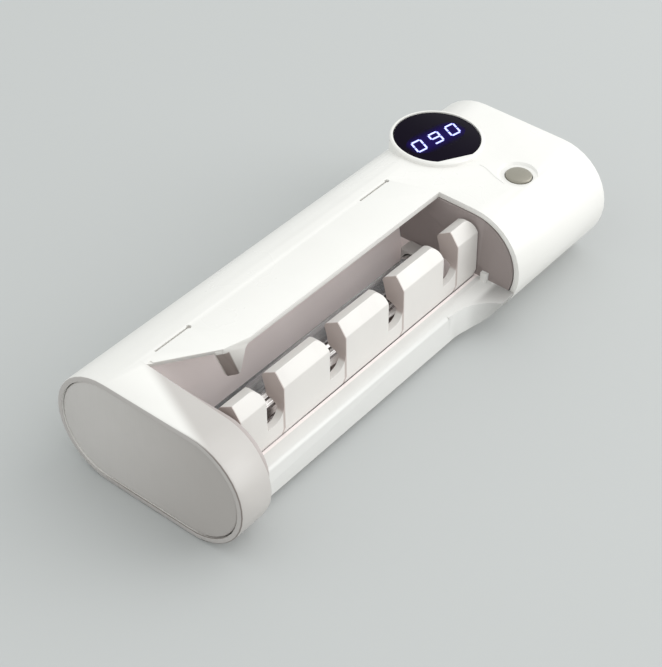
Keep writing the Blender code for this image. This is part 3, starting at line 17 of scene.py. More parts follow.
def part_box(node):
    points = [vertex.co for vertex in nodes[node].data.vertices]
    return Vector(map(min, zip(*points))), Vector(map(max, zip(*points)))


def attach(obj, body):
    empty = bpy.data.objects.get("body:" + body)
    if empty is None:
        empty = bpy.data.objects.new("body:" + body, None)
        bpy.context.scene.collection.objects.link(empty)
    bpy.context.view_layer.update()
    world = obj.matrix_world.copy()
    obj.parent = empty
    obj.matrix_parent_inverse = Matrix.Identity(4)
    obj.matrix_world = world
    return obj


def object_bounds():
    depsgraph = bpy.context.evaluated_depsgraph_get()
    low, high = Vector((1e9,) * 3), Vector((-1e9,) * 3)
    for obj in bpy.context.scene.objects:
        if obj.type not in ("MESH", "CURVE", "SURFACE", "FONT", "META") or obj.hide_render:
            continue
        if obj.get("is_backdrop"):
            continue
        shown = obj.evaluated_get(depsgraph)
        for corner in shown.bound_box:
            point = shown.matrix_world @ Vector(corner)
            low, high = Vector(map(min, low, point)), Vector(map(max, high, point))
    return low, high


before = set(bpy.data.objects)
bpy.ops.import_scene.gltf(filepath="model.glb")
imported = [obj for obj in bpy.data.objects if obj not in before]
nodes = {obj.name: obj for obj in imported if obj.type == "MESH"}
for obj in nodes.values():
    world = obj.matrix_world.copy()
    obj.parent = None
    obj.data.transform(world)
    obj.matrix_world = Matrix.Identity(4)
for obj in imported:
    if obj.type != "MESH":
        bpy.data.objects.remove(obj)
model_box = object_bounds()
print(len(nodes), "nodes in a box of", [round(part, 4) for corner in model_box for part in corner])

# %% [markdown]
# ## Camera
# The photograph looks down on the unit from the ring end, with the long axis running away to the
# right. The view was worked out beforehand from the long straight edges and the round ends, so the
# camera is given by its turn round the object, its height and a small roll.

# %% Place the camera
MM = 0.001
VIEW_TURN = math.radians(-53.93)
VIEW_HEIGHT = math.radians(40.75)
VIEW_ROLL = math.radians(3.205)
CAMERA_PLACE = Vector((-352.26, -248.75, 375.66)) * MM
SENSOR_SIZE = 36.0
FOCAL_LENGTH = 92.12

backward = Vector((
    math.sin(VIEW_TURN) * math.cos(VIEW_HEIGHT),
    -math.cos(VIEW_TURN) * math.cos(VIEW_HEIGHT),
    math.sin(VIEW_HEIGHT),
))
sideways = Vector((math.cos(VIEW_TURN), math.sin(VIEW_TURN), 0))
upward = backward.cross(sideways)
turn = Matrix((sideways, upward, backward)).transposed() @ Matrix.Rotation(VIEW_ROLL, 3, "Z")
camera = bpy.data.objects.new("camera", bpy.data.cameras.new("camera"))
bpy.context.scene.collection.objects.link(camera)
camera.data.sensor_width = SENSOR_SIZE
camera.data.lens = FOCAL_LENGTH
camera.matrix_world = Matrix.Translation(CAMERA_PLACE) @ turn.to_4x4()
bpy.context.scene.camera = camera
print("camera looks along", [round(part, 3) for part in -backward])

# %% [markdown]
# ## Floor and light
# The photograph is a studio shot on one even pale grey, with no horizon. The top and the long
# round side are equally bright, everything that faces the ring end is darker, and the floor shows
# hardly any shadow. The block at the far end is brighter than the ring. So an even sky gives most
# of the light, and a large soft lamp that stands near the far end, on the rack's side, adds to it
# and fades along the object. A smaller, lower lamp on the same side fills the block's side. The
# colours are kept plain, without a film curve, so that the whites stay light.

# %% Make the floor, the sky and the lamps
FLOOR_SIZE = 6.0
FLOOR_GREY = (0.512, 0.521, 0.517, 1.0)
FLOOR_ROUGHNESS = 0.9
FLOOR_SHINE = 0.1
SKY_GREY = (0.97, 1.0, 0.995, 1.0)
SKY_STRENGTH = 0.97
KEY_PLACE = Vector((0.74, -0.66, 0.88))
KEY_SIZE = 1.7
KEY_POWER = 7.8
FILL_PLACE = Vector((0.62, -0.72, 0.30))
FILL_SIZE = 0.55
FILL_POWER = 1.9


def add_floor():
    """A wide flat floor that isn't part of the object."""
    bpy.ops.object.select_all(action="DESELECT")
    bpy.ops.mesh.primitive_plane_add(size=FLOOR_SIZE, location=(0, 0, 0))
    floor = bpy.context.active_object
    floor.name = "floor"
    grey = bpy.data.materials.new("floor_grey")
    grey.use_nodes = True
    shader = grey.node_tree.nodes["Principled BSDF"]
    shader.inputs["Base Color"].default_value = FLOOR_GREY
    shader.inputs["Roughness"].default_value = FLOOR_ROUGHNESS
    shader.inputs["Specular IOR Level"].default_value = FLOOR_SHINE
    floor.data.materials.append(grey)
    floor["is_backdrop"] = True


def add_lamp(name, place, size, power):
    """A square soft lamp that faces the object."""
    light = bpy.data.lights.new(name, "AREA")
    light.size = size
    light.energy = power
    lamp = bpy.data.objects.new(name, light)
    bpy.context.scene.collection.objects.link(lamp)
    lamp.location = place
    lamp.rotation_euler = (-place).to_track_quat("-Z", "Y").to_euler()


add_floor()
sky = bpy.data.worlds.new("sky")
bpy.context.scene.world = sky
sky.use_nodes = True
sky.node_tree.nodes["Background"].inputs["Color"].default_value = SKY_GREY
sky.node_tree.nodes["Background"].inputs["Strength"].default_value = SKY_STRENGTH
bpy.context.scene.view_settings.view_transform = "Standard"
add_lamp("key", KEY_PLACE, KEY_SIZE, KEY_POWER)
add_lamp("side_fill", FILL_PLACE, FILL_SIZE, FILL_POWER)
print("key lamp", round(KEY_PLACE.length, 2), "m away")

# %% [markdown]
# ## Writing shader maths as expressions
# A finish is a small sum of patterns. Wiring it node by node hides the idea, so one class wraps a
# socket and lets Python's own signs add the Math nodes. Each finish below then reads as a formula.
# Tones that depend on the place are given by edges in millimetres along an axis, or by the distance
# from a plane.

# %% A socket that can be added and multiplied
class Wire:
    """One output socket, which Python's operators turn into Math nodes."""

    def __init__(self, finish, socket):
        self.finish = finish
        self.socket = socket

    def sum(self, operation, *values):
        return self.finish.node("ShaderNodeMath", {"operation": operation}, dict(enumerate(values)))

    def __add__(self, other):
        return self.sum("ADD", self, other)

    def __sub__(self, other):
        return self.sum("SUBTRACT", self, other)

    def __rsub__(self, other):
        return self.sum("SUBTRACT", other, self)

    def __mul__(self, other):
        return self.sum("MULTIPLY", self, other)

    __radd__ = __add__
    __rmul__ = __mul__

    def unsigned(self):
        """The value without its sign."""
        return self.sum("ABSOLUTE", self)

    def between(self, low, high):
        """0 below low, 1 above high, and a smooth rise from one to the other."""
        return self.finish.node(
            "ShaderNodeMapRange", {"interpolation_type": "SMOOTHSTEP"},
            {"Value": self, "From Min": low, "From Max": high},
        )

    def fade(self, start, full):
        """0 at start and 1 at full, both in millimetres."""
        return self.between(start * MM, full * MM)

    def band(self, start, full, still_full, end):
        """A rise from start to full and a fall from still_full to end, in millimetres."""
        return self.fade(start, full) * self.fade(end, still_full)


class Finish:
    """A material whose nodes are made from expressions."""

    def __init__(self, name):
        self.material = bpy.data.materials.new(name)
        self.material.use_nodes = True
        self.tree = self.material.node_tree
        self.shader = self.tree.nodes["Principled BSDF"]

    def node(self, kind, settings=None, values=None, output=0):
        """Adds a node: settings first, then numbers, colours or wires into its sockets."""
        made = self.tree.nodes.new(kind)
        for key, value in (settings or {}).items():
            setattr(made, key, value)
        for key, value in (values or {}).items():
            self.put(made.inputs[key], value)
        return Wire(self, made.outputs[output])

    def put(self, socket, value):
        """Links a wire to a socket, or sets the socket's own value."""
        if isinstance(value, Wire):
            self.tree.links.new(value.socket, socket)
        else:
            socket.default_value = value

    def set(self, **values):
        """Sets sockets of the main shader, named with underscores for spaces."""
        for key, value in values.items():
            self.put(self.shader.inputs[key.replace("_", " ")], value)

    def place(self, scale=(1, 1, 1)):
        """Object coordinates, scaled."""
        spot = self.node("ShaderNodeTexCoord", output="Object")
        return self.node("ShaderNodeMapping", None, {"Vector": spot, "Scale": scale})

    def noise(self, size, detail=3.0, scale=(1, 1, 1)):
        """Soft noise whose cells are about size across, from 0 to 1."""
        return self.node(
            "ShaderNodeTexNoise", {"noise_dimensions": "3D"},
            {"Vector": self.place(scale), "Scale": 1 / size, "Detail": detail},
        )

    def axis(self, name):
        """One Object coordinate, in metres."""
        spot = self.node("ShaderNodeTexCoord", output="Object")
        return self.node("ShaderNodeSeparateXYZ", None, {"Vector": spot}, output=name)

    def from_plane(self, point, normal):
        """Distance in front of a plane through a point in millimetres."""
        parts = [
            (self.axis(name) - value * MM) * slope
            for name, value, slope in zip("XYZ", point, normal) if slope
        ]
        total = parts[0]
        for part in parts[1:]:
            total = total + part
        return total

    def mix(self, share, first, second):
        """A colour between two others."""
        return self.node(
            "ShaderNodeMix", {"data_type": "RGBA"}, {0: share, 6: first, 7: second}, output=2,
        )

    def bump(self, height, strength, distance):
        """Turns a height pattern into the main shader's normal."""
        self.set(Normal=self.node(
            "ShaderNodeBump", None, {"Height": height, "Strength": strength, "Distance": distance},
        ))


print("expressions ready")

# %% [markdown]
# ## Edges that catch the light
# A moulded edge is never perfectly sharp: a tiny round along it gives the thin bright line that
# the eye reads as real plastic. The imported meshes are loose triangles, so each one is welded, flat
# neighbours are merged back to whole faces, and a narrow bevel rounds what is left sharp. The
# rack's slopes are left out of the bevel and shaded smoothly, weighted by the size of the faces.
# All of it is modifiers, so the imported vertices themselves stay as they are.

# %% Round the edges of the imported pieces
WELD_DISTANCE = 0.00001
FLAT_LIMIT = math.radians(0.5)
SHARP_LIMIT = math.radians(32)
SLOPE_LIMIT = math.radians(62)
EDGE_SEGMENTS = 3
SLOPE_WEIGHT = 100


def soften(item, width):
    """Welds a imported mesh, merges its flat faces and rounds its sharp edges."""
    item.data.shade_smooth()
    weld = item.modifiers.new("weld", "WELD")
    weld.merge_threshold = WELD_DISTANCE
    merge = item.modifiers.new("merge_flat", "DECIMATE")
    merge.decimate_type = "DISSOLVE"
    merge.angle_limit = FLAT_LIMIT
    edge = item.modifiers.new("edge", "BEVEL")
    edge.width = width
    edge.segments = EDGE_SEGMENTS
    edge.limit_method = "ANGLE"
    edge.angle_limit = SHARP_LIMIT
    edge.harden_normals = True
    edge.miter_outer = "MITER_ARC"
    return edge


EDGE_WIDTHS = {
    "casing": 0.20, "brush_rack": 0.6, "chassis": 0.25,
    "end_plate_near": 0.12, "end_plate_far": 0.12,
    "display_lens": 0.15, "power_button": 0.12, "lamp_holder_near": 0.3, "lamp_holder_far": 0.3,
    "lamp_cap_near": 0.3, "lamp_cap_far": 0.3, "reflector": 0.06, "wall_plate": 0.15,
    "adhesive_pad": 0.1, "usb_socket": 0.06, "battery_cell": 0.3, "battery_cradle": 0.2,
    "driver_transformer": 0.4, "controller_chip": 0.15, "button_switch": 0.2,
}
PLAIN_EDGE = 0.08
for name, item in nodes.items():
    rounding = soften(item, EDGE_WIDTHS.get(name, PLAIN_EDGE) * MM)
    if name == "brush_rack":
        rounding.angle_limit = SLOPE_LIMIT
        rounding.harden_normals = False
        item.modifiers.new("soft_slopes", "WEIGHTED_NORMAL").weight = SLOPE_WEIGHT
print("softened", len(nodes), "pieces")

# %% [markdown]
# ## White moulded shell
# The sleeve and the lift-out rack are glossy white plastic. Up close it shows a very fine mould
# grain, and slow changes of tone and gloss where hands touch it. Three sizes of noise give these,
# and the bump is kept far below a tenth of a millimetre.

# %% Make a moulded plastic
def moulded_plastic(name, pale, shaded, gloss, rough, grain=0.35):
    """Plastic with a fine mould grain, a slow change of tone and a slow change of gloss."""
    made = Finish(name)
    grain_height = made.noise(grain * MM, 4.0)
    slow = made.noise(38 * MM, 2.0).between(0.3, 0.7)
    smears = made.noise(9 * MM, 5.0, (1, 1, 0.4)).between(0.45, 0.75)
    made.tone = made.mix(slow * 0.55 + smears * 0.25, pale, shaded)
    made.set(
        Base_Color=made.tone,
        Roughness=slow * (rough - gloss) + smears * 0.06 + gloss,
        Specular_IOR_Level=0.5,
    )
    made.bump(grain_height, 0.12, 0.03 * MM)
    return made


def paint(finish, *names):
    """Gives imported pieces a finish."""
    for name in names:
        nodes[name].data.materials.clear()
        nodes[name].data.materials.append(finish.material)


print("moulded plastic ready")

# %% [markdown]
# ## Shade held in the white
# In the photograph the ring's scooped side is greyer than the panel, the tab's end is brown with
# shade, and a thin grey rim with a dark line frames the near end plate. Light alone didn't give
# these here, so the sleeve's own tone holds them, each bounded by its place on the object. The
# rack's slot walls and its near end are warmer and darker in the same way.

# %% Make the white plastics
SCOOP_POINT, SCOOP_NORMAL = (-84.4, 12.5, 0), (0.911, -0.412, 0)
SCOOP_SHADE_TONE, SCOOP_SHADE_SHARE = (0.46, 0.43, 0.41, 1), 0.85
TAB_END_POINT, TAB_END_NORMAL = (-63.5, 0.3, 39), (0.538, 0.835, 0.119)
TAB_END_SHADE_TONE = (0.30, 0.255, 0.235, 1)
RIM_SHADE_TONE = (0.50, 0.47, 0.45, 1)
RIM_LINE_SHADE_TONE, RIM_LINE_SHADE_SHARE = (0.16, 0.13, 0.115, 1), 0.85
SLOT_COUNT, SLOT_PITCH, FIRST_SLOT_WALL = 4, 30.067, 19.6
SLOT_WALL_SHADE_TONE = (0.47, 0.40, 0.375, 1)

white = moulded_plastic(
    "white_shell", (0.825, 0.808, 0.778, 1), (0.79, 0.772, 0.742, 1), 0.26, 0.36
)
along, across, high = white.axis("X"), white.axis("Y"), white.axis("Z")
# Painted shade: the ring's scooped side next to the window is greyed.
scoop_shade = white.from_plane(SCOOP_POINT, SCOOP_NORMAL).fade(-1.5, 3.5) * (1 - along.fade(-83.9, -83.6))
toned = white.mix(scoop_shade * SCOOP_SHADE_SHARE, white.tone, SCOOP_SHADE_TONE)
# Painted shade: the tab's end is made brown.
tab_end_shade = white.from_plane(TAB_END_POINT, TAB_END_NORMAL).band(-0.4, -0.2, 0.2, 0.4)
tab_end_shade = tab_end_shade * high.band(20, 22, 37.6, 38.2) * along.band(-67, -66.5, -58.5, -57.5)
toned = white.mix(tab_end_shade, toned, TAB_END_SHADE_TONE)
# Painted shade: the sleeve's rim round the near end plate is greyed.
toned = white.mix(along.fade(-98.3, -98.4), toned, RIM_SHADE_TONE)
# A painted line of shade runs along the rim's edge, darkest low down and on the rack's side.
rim_line_shade = along.band(-98.47, -98.40, -98.14, -98.06) * (across * -1 - high).fade(-32, -8)
white.set(Base_Color=white.mix(rim_line_shade * RIM_LINE_SHADE_SHARE, toned, RIM_LINE_SHADE_TONE))
rack_white = moulded_plastic(
    "white_rack", (0.74, 0.71, 0.68, 1), (0.68, 0.65, 0.625, 1), 0.28, 0.38
)
from_end = rack_white.axis("X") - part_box("brush_rack")[0][0]
# Painted shade darkens and warms the rack's near end and the slot walls that face the ring end.
rack_wall_shade = from_end.fade(0.4, 0.1)
for index in range(SLOT_COUNT):
    wall = from_end - (FIRST_SLOT_WALL + SLOT_PITCH * index) * MM
    rack_wall_shade = rack_wall_shade + wall.band(-0.9, -0.3, 0.2, 0.5)
rack_white.set(Base_Color=rack_white.mix(rack_wall_shade, rack_white.tone, SLOT_WALL_SHADE_TONE))
paint(white, "casing")
paint(rack_white, "brush_rack")
print("white plastic:", white.material.name, rack_white.material.name)

# %% [markdown]
# ## Liner of the chamber
# The chamber is one moulding, a little duller than the shell. Inside the chamber it is painted
# lighter and warmer than outside, as painted bounce light. Outside the chamber the same moulding is
# the pale rail, with painted shade in a darker hollow where it meets the block. The chamber's two
# ends are darker with painted shade, and a weak glow stands in for light that bounces about inside.
# The lamp is off.

# %% Make the liner plastic and the holders
LINER_BOUNCE_PALE, LINER_BOUNCE_SHADED = (0.90, 0.825, 0.81, 1), (0.86, 0.78, 0.765, 1)
LINER_GLOW = 0.10
RAIL_TONE = (0.74, 0.73, 0.71, 1)
HOLLOW_SHADE_TONE, HOLLOW_SHADE_SHARE = (0.30, 0.29, 0.28, 1), 0.8
FAR_END_SHADE_TONE, FAR_END_DIMMING = (0.285, 0.24, 0.23, 1), 0.7
RING_END_SHADE_TONE = (0.45, 0.40, 0.385, 1)

liner = moulded_plastic("liner_plastic", LINER_BOUNCE_PALE, LINER_BOUNCE_SHADED, 0.34, 0.48)
# Painted bounce light: inside the chamber the moulding is lighter and warmer than on the rail.
inside = liner.axis("Y").fade(-21.3, -20.8)
toned = liner.mix(inside, RAIL_TONE, liner.tone)
# Painted shade darkens the hollow where the rail meets the block.
hollow_shade = liner.axis("X").fade(24, 40) * liner.axis("Y").fade(-27.0, -29.5)
toned = liner.mix(hollow_shade * HOLLOW_SHADE_SHARE, toned, HOLLOW_SHADE_TONE)
# Painted shade darkens the chamber's far end wall, and the glow is dimmed there.
far_end_shade = liner.axis("X").fade(42.6, 42.8) * liner.axis("Z").fade(14.6, 14.9)
toned = liner.mix(far_end_shade, toned, FAR_END_SHADE_TONE)
# Painted shade darkens the chamber's ring end.
ring_end_shade = liner.axis("X").fade(-80.9, -81.1)
toned = liner.mix(ring_end_shade, toned, RING_END_SHADE_TONE)
glow_share = inside * (1 - far_end_shade * FAR_END_DIMMING) * (1 - ring_end_shade)
liner.set(
    Base_Color=toned,
    Emission_Color=liner.mix(glow_share, (0.0, 0.0, 0.0, 1), LINER_BOUNCE_SHADED),
    Emission_Strength=LINER_GLOW,
)
holder = moulded_plastic("holder_plastic", (0.66, 0.64, 0.62, 1), (0.58, 0.56, 0.54, 1), 0.42, 0.55)
cradle = moulded_plastic(
    "cradle_plastic", (0.045, 0.045, 0.05, 1), (0.03, 0.03, 0.033, 1), 0.45, 0.6
)
paint(liner, "chassis")
paint(holder, "lamp_holder_near", "lamp_holder_far")
paint(cradle, "battery_cradle", "switch_plunger")
print("liner and holders done")

# %% [markdown]
# ## Satin end plates, caps and screws
# The end plates are sprayed satin grey over metal, the lamp's caps are drawn aluminium, and the
# screws are bright steel. All three share one idea: a metal whose fine lines run one way. The lines
# are noise squeezed along one axis. Painted shade makes the end plates darker towards the rack's
# side, and the reflector has painted dark streaks along it, a painted reflection of the dark
# chamber in its polished metal.

# %% Make a brushed metal
def brushed_metal(name, colour, dark, along, metallic, gloss, rough, depth=0.02):
    """Metal with fine lines along one axis, in object space."""
    made = Finish(name)
    stretch = tuple(0.03 if part == along else 1 for part in "XYZ")
    lines = made.noise(0.25 * MM, 3.0, stretch)
    cloud = made.noise(14 * MM, 3.0).between(0.3, 0.7)
    made.tone = made.mix(lines * 0.5 + cloud * 0.3, colour, dark)
    made.set(
        Base_Color=made.tone,
        Roughness=lines * (rough - gloss) + cloud * 0.05 + gloss,
        Metallic=metallic,
    )
    made.bump(lines, 0.25, depth * MM)
    return made


# %% [markdown]
# ## One recipe for five kinds of metal
# The same recipe makes the satin grey of the end plates, the lamp's caps, the button, the screws
# and the reflector. Only the colours, the run of the lines and the gloss differ. The button is
# sprayed metal, so it is only partly metallic.

# %% Give the metal pieces their finishes
PLATE_SHADE_TONE, PLATE_SHADE_SHARE = (0.38, 0.35, 0.33, 1), 0.75
REFLECTION_STREAK_TONE, REFLECTION_STREAK_SHARE = (0.16, 0.13, 0.12, 1), 0.85

plate_grey = brushed_metal(
    "plate_grey", (0.62, 0.59, 0.57, 1), (0.565, 0.54, 0.515, 1), "Z", 0.0, 0.36, 0.5, 0.012
)
# Painted shade darkens the end plates towards the rack's side.
plate_shade = plate_grey.axis("Y").fade(25, -32) * PLATE_SHADE_SHARE
plate_grey.set(Base_Color=plate_grey.mix(plate_shade, plate_grey.tone, PLATE_SHADE_TONE))
cap_metal = brushed_metal(
    "cap_metal", (0.62, 0.62, 0.61, 1), (0.48, 0.48, 0.47, 1), "X", 1.0, 0.2, 0.36
)
steel = brushed_metal(
    "bright_steel", (0.62, 0.61, 0.58, 1), (0.45, 0.44, 0.42, 1), "X", 1.0, 0.22, 0.4
)
button_metal = brushed_metal(
    "button_metal", (0.325, 0.305, 0.255, 1), (0.275, 0.255, 0.215, 1), "X", 0.45, 0.3, 0.42, 0.01
)
reflector_metal = brushed_metal(
    "reflector_metal", (0.92, 0.90, 0.89, 1), (0.50, 0.46, 0.44, 1), "X", 1.0, 0.07, 0.2, 0.006
)
# Painted reflection: dark streaks along the polished reflector stand for the dark chamber mirrored in
# it.
reflection_streaks = reflector_metal.noise(2.2 * MM, 4.0, (0.12, 1, 1)).between(0.42, 0.60) * REFLECTION_STREAK_SHARE
reflector_metal.set(Base_Color=reflector_metal.mix(reflection_streaks, reflector_metal.tone, REFLECTION_STREAK_TONE))
paint(plate_grey, "end_plate_near", "end_plate_far")
paint(cap_metal, "lamp_cap_near", "lamp_cap_far")
paint(button_metal, "power_button")
paint(reflector_metal, "reflector")
screws = [name for name in nodes if "_screw_" in name]
paint(steel, "usb_socket", "wall_plate", "button_switch", *screws)
print("metals done")

# %% [markdown]
# ## Display window
# The display's window is black glossy plastic over a dark block. Fine wipe marks show only in its
# gloss, so they go to the roughness and not to the colour.

# %% Make the black window and the dark pieces
lens = Finish("window_black")
wipes = lens.noise(1.6 * MM, 5.0, (0.25, 1, 1)).between(0.5, 0.8)
dust = lens.noise(0.5 * MM, 2.0).between(0.72, 0.8)
lens.set(
    Base_Color=lens.mix(dust * 0.2, (0.006, 0.004, 0.010, 1), (0.03, 0.03, 0.04, 1)),
    Roughness=wipes * 0.06 + dust * 0.2 + 0.08,
    Specular_IOR_Level=0.02,
)
lens.bump(wipes, 0.03, 0.01 * MM)
paint(lens, "display_lens")
dark = moulded_plastic("dark_block", (0.03, 0.03, 0.033, 1), (0.02, 0.02, 0.022, 1), 0.35, 0.5)
paint(dark, "display_module", "controller_chip")
print("window done")

# %% [markdown]
# ## Boards, cell, transformer and pad
# These lie inside, but the model can be opened, so they get real finishes too: green mask with
# copper tracks just showing, a shrink sleeve on the cell, wound tape on the transformer, and open
# foam on the wall plate's pad.

# %% Make the inner finishes
board = Finish("board_mask")
tracks = board.node(
    "ShaderNodeTexBrick", {"offset": 0.5},
    {"Vector": board.place(), "Scale": 1 / (6 * MM), "Mortar Size": 0.04, "Mortar Smooth": 0.3},
    output="Fac",
)
board.set(
    Base_Color=board.mix(
        tracks * 0.7 + board.noise(3 * MM) * 0.2, (0.015, 0.12, 0.05, 1), (0.03, 0.26, 0.11, 1)
    ),
    Roughness=board.noise(2 * MM) * 0.15 + 0.28,
)
board.bump(tracks, 0.4, 0.03 * MM)
paint(board, "display_board", "switch_board", "main_board", "lamp_driver_board")

wrap = Finish("cell_wrap")
creases = wrap.noise(5 * MM, 4.0, (0.2, 1, 1))
wrap.set(
    Base_Color=wrap.mix(creases.between(0.4, 0.7), (0.03, 0.09, 0.30, 1), (0.05, 0.14, 0.42, 1)),
    Roughness=creases * 0.2 + 0.2,
)
wrap.bump(creases, 0.3, 0.08 * MM)
paint(wrap, "battery_cell")

tape = Finish("wound_tape")
turns = tape.node(
    "ShaderNodeTexWave", {"wave_type": "BANDS", "bands_direction": "Z"},
    {"Vector": tape.place(), "Scale": 1 / (5 * MM), "Distortion": 0.4, "Detail": 2.0}, output="Fac",
)
tape.set(
    Base_Color=tape.mix(turns * 0.6, (0.55, 0.40, 0.06, 1), (0.38, 0.26, 0.03, 1)),
    Roughness=tape.noise(1 * MM) * 0.2 + 0.3,
)
tape.bump(turns, 0.4, 0.05 * MM)
paint(tape, "driver_transformer")

foam = Finish("pad_foam")
cells = foam.node(
    "ShaderNodeTexVoronoi", {"feature": "F1"}, {"Vector": foam.place(), "Scale": 1 / (0.4 * MM)},
    output="Distance",
)
foam.set(
    Base_Color=foam.mix(cells, (0.05, 0.05, 0.05, 1), (0.14, 0.14, 0.14, 1)),
    Roughness=cells * 0.1 + 0.8,
)
foam.bump(cells, 0.8, 0.1 * MM)
paint(foam, "adhesive_pad")
print("inner finishes done")

# %% [markdown]
# ## Lamp
# The lamp is a clear glass tube with a faint milky film inside, lit softly by the room. Full glass
# would bend the fluted reflector behind it into a blur, so the tube is mostly see-through with a
# thin bright skin.

# %% Make the lamp's glass
glass = Finish("lamp_glass")
film = glass.noise(6 * MM, 3.0, (0.3, 1, 1))
glass.set(
    Base_Color=glass.mix(film, (0.80, 0.84, 0.86, 1), (0.70, 0.72, 0.74, 1)),
    Roughness=film * 0.12 + 0.04,
    Transmission_Weight=0.85,
    IOR=1.3,
)
glass.bump(film, 0.05, 0.02 * MM)
paint(glass, "uv_lamp")
print("lamp done")

# %% [markdown]
# ## Lit numbers
# The lens shows three lit characters. Here they are plain numbers in the bar style of a small
# display: each is made of up to seven short bars with pointed ends. One bar is modelled once, from
# a flat box whose ends are pulled to a point, and copied with its own mesh to every lit place. The
# numbers lean and run a little downhill, so a place is counted along two slanting directions.

# %% Model one lit bar
BAR_WIDTH = 0.72
BAR_RISE = 0.05
BAR_GAP = 0.42
NUMBER_MIDDLE = Vector((67.3, 16.5, 41.32))
NUMBER_PITCH = 8.1
NUMBER_WIDTH = 4.1
NUMBER_HEIGHT = 5.5
READING_TURN = math.radians(-10)
STEM_TURN = math.radians(64)
reading = Vector((math.cos(READING_TURN), math.sin(READING_TURN), 0))
stem = Vector((math.cos(STEM_TURN), math.sin(STEM_TURN), 0))
BARS = {
    "top": (0, 1), "middle": (0, 0), "bottom": (0, -1), "left_high": (-1, 0.5),
    "right_high": (1, 0.5), "left_low": (-1, -0.5), "right_low": (1, -0.5),
}
NUMBERS = {
    "0": ("top", "bottom", "left_high", "right_high", "left_low", "right_low"),
    "9": ("top", "middle", "bottom", "left_high", "right_high", "right_low"),
}


def lit_bar(name, length):
    """A thin bar with pointed ends, lying along X about the origin."""
    bpy.ops.object.select_all(action="DESELECT")
    bpy.ops.mesh.primitive_cube_add(size=1, location=(0, 0, 0))
    bar = bpy.context.active_object
    bar.name = name
    bpy.ops.transform.resize(value=(length * MM, BAR_WIDTH * MM, BAR_RISE * MM))
    bpy.ops.object.transform_apply(location=False, rotation=False, scale=True)
    bpy.ops.object.mode_set(mode="EDIT")
    shape = bmesh.from_edit_mesh(bar.data)
    for edge in shape.edges:
        first, second = (vert.co for vert in edge.verts)
        edge.select_set(abs(first.z - second.z) > BAR_RISE * MM / 2)
    bmesh.update_edit_mesh(bar.data)
    bpy.ops.mesh.bevel(offset=BAR_WIDTH * MM * 0.46, segments=1, affect="EDGES")
    bpy.ops.object.mode_set(mode="OBJECT")
    return bar


def copy_of(item, name, place):
    """A copy with its own mesh, turned and moved inside the mesh."""
    made = item.copy()
    made.data = item.data.copy()
    made.data.transform(place)
    made.name = name
    bpy.context.scene.collection.objects.link(made)
    return made


def joined(name, parts, finish):
    """One object of several, with one finish, riding on the main body."""
    bpy.ops.object.select_all(action="DESELECT")
    for part in parts:
        part.select_set(True)
    bpy.context.view_layer.objects.active = parts[0]
    if len(parts) > 1:
        bpy.ops.object.join()
    made = bpy.context.active_object
    made.name = name
    made.data.materials.clear()
    made.data.materials.append(finish.material)
    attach(made, "main_body")
    print(name, "with", len(made.data.polygons), "faces")


# %% [markdown]
# ## Placing the bars
# Each number is a list of lit places. A place is counted from the number's centre, half a width
# along the reading direction and half a height along the stem, and its bar is turned to match. The
# bars of one number are joined to one piece, and the two patterns are removed at the end.

# %% Build the three numbers from copies of the bars
glow = Finish("lit_number")
flicker = glow.noise(1.2 * MM, 2.0)
glow.set(
    Base_Color=glow.mix(flicker, (0.35, 0.40, 0.95, 1), (0.60, 0.65, 1.0, 1)),
    Roughness=flicker * 0.1 + 0.4,
    Emission_Color=glow.mix(flicker, (0.26, 0.27, 1.0, 1), (0.50, 0.52, 1.0, 1)),
    Emission_Strength=1.0,
)
level_bar = lit_bar("level_bar", NUMBER_WIDTH - BAR_GAP)
stem_bar = lit_bar("stem_bar", NUMBER_HEIGHT / 2 - BAR_GAP)
for index, number in enumerate("090"):
    centre = NUMBER_MIDDLE + reading * (index - 1) * NUMBER_PITCH
    parts = []
    for key in NUMBERS[number]:
        across, high = BARS[key]
        spot = centre + reading * across * NUMBER_WIDTH / 2 + stem * high * NUMBER_HEIGHT / 2
        source, angle = (stem_bar, STEM_TURN) if across else (level_bar, READING_TURN)
        place = Matrix.Translation(spot * MM) @ Matrix.Rotation(angle, 4, "Z")
        parts.append(copy_of(source, f"bar_{index}_{key}", place))
    joined(f"lit_number_{index + 1}", parts, glow)
for source in (level_bar, stem_bar):
    bpy.data.objects.remove(source, do_unlink=True)

# %% [markdown]
# ## Glow of the numbers
# Light from the numbers spreads a little inside the black window and leaves a violet haze round
# each of them. A very thin plate just over the lens, see-through except near the numbers, does it.

# %% Make the haze
HAZE_TOP = 41.31
HAZE_RISE = 0.006
HAZE_SIZE = (26.0, 13.0, 1)
HAZE_BORDER = 2.0
HAZE_COLOUR, HAZE_GLOW = (0.10, 0.06, 0.55, 1), 0.22
haze_place = (NUMBER_MIDDLE.x * MM, NUMBER_MIDDLE.y * MM, HAZE_TOP * MM)
bpy.ops.object.select_all(action="DESELECT")
bpy.ops.mesh.primitive_circle_add(
    vertices=48, radius=0.5 * MM, fill_type="NGON", location=haze_place
)
haze = bpy.context.active_object
bpy.ops.transform.resize(value=HAZE_SIZE)
bpy.ops.transform.rotate(value=-READING_TURN, orient_axis="Z", center_override=NUMBER_MIDDLE * MM)
bpy.ops.object.transform_apply(location=True, rotation=True, scale=True)
bpy.ops.object.mode_set(mode="EDIT")
bpy.ops.mesh.select_all(action="SELECT")
bpy.ops.mesh.inset(thickness=HAZE_BORDER * MM)
bpy.ops.mesh.select_all(action="SELECT")
bpy.ops.mesh.extrude_region_move(TRANSFORM_OT_translate={"value": (0, 0, HAZE_RISE * MM)})
bpy.ops.mesh.select_all(action="SELECT")
bpy.ops.mesh.normals_make_consistent(inside=False)
bpy.ops.object.mode_set(mode="OBJECT")
mist = Finish("violet_haze")
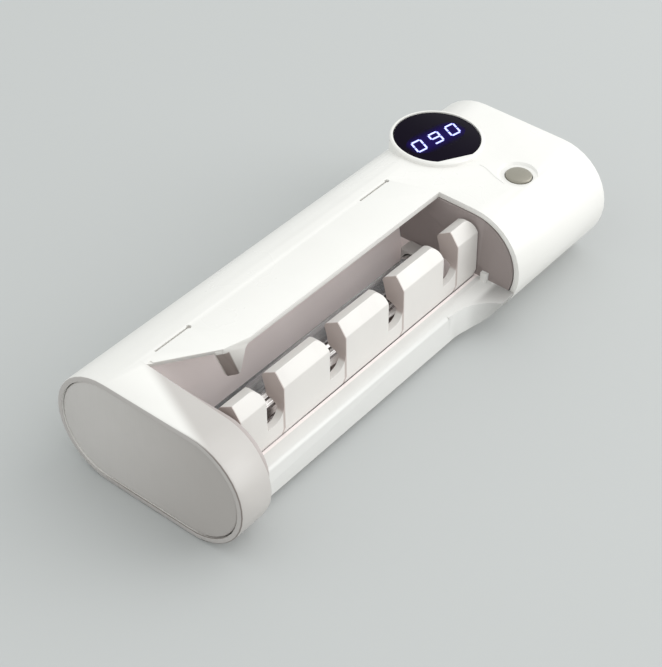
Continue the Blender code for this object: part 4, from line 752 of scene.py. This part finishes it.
near_x = mist.axis("X") - NUMBER_MIDDLE.x * MM
near_y = mist.axis("Y") - NUMBER_MIDDLE.y * MM
along_row = near_x * reading.x + near_y * reading.y
across_row = near_y * reading.x - near_x * reading.y
reach = along_row.unsigned().fade(13.0, 9.5) * across_row.unsigned().fade(6.2, 1.5)
mist.set(
    Base_Color=(0.0, 0.0, 0.0, 1), Specular_IOR_Level=0.0,
    Roughness=mist.noise(1 * MM) * 0.1 + 0.5,
    Emission_Color=HAZE_COLOUR, Emission_Strength=HAZE_GLOW,
    Alpha=reach * (mist.noise(2 * MM) * 0.1 + 0.45),
)
joined("number_haze", [haze], mist)

# %% [markdown]
# ## Flowing line beside the button
# A soft raised line runs from the display's lower flat to the dish of the button. It is drawn out
# ring by ring along a few measured points, thin at the ends and thicker in the middle, and then
# smoothed.

# %% Draw out the line
LINE_POINTS = (
    (62.0, -16.0), (62.8, -13.6), (63.6, -11.0), (65.0, -8.0), (65.9, -5.4), (65.6, -3.1),
)
LINE_WIDTHS = (0.25, 0.9, 1.2, 1.2, 0.9, 0.25)
LINE_RISE = 0.7
PANEL_TOP = 40.0


def drawn_out(name, points, widths, rise, finish):
    """A low ridge along points on the front panel, made ring by ring."""
    bpy.ops.object.select_all(action="DESELECT")
    first = Vector((*points[0], PANEL_TOP))
    bpy.ops.mesh.primitive_circle_add(
        vertices=12, radius=0.5 * MM, fill_type="NGON", location=first * MM
    )
    ridge = bpy.context.active_object
    heading = Vector(points[1]) - Vector(points[0])
    bpy.ops.transform.rotate(value=math.pi / 2, orient_axis="Y", center_override=first * MM)
    bpy.ops.transform.rotate(
        value=-math.atan2(heading.y, heading.x), orient_axis="Z", center_override=first * MM
    )
    bpy.ops.object.transform_apply(location=True, rotation=True, scale=True)
    bpy.ops.object.mode_set(mode="EDIT")
    bpy.ops.mesh.select_all(action="SELECT")
    bpy.ops.transform.resize(value=(widths[0], widths[0], rise * 0.5), center_override=first * MM)
    for here, after, width, wider in zip(points, points[1:], widths, widths[1:]):
        step = Vector(after) - Vector(here)
        bpy.ops.mesh.extrude_region_move(
            TRANSFORM_OT_translate={"value": (step.x * MM, step.y * MM, 0)}
        )
        place = Vector((*after, PANEL_TOP)) * MM
        bpy.ops.transform.resize(value=(wider / width, wider / width, 1), center_override=place)
    bpy.ops.mesh.select_all(action="SELECT")
    bpy.ops.mesh.normals_make_consistent(inside=False)
    bpy.ops.object.mode_set(mode="OBJECT")
    smooth = ridge.modifiers.new("smooth", "SUBSURF")
    smooth.levels = 2
    bpy.ops.object.modifier_apply(modifier="smooth")
    ridge.data.shade_smooth()
    joined(name, [ridge], finish)


drawn_out("flowing_line", LINE_POINTS, LINE_WIDTHS, LINE_RISE, white)

# %% Print how far the box corners moved
dressed_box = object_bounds()
grown = [
    round((after - before) / MM, 3)
    for old, new in zip(model_box, dressed_box) for before, after in zip(old, new)
]
print("box corners moved by", grown, "mm")
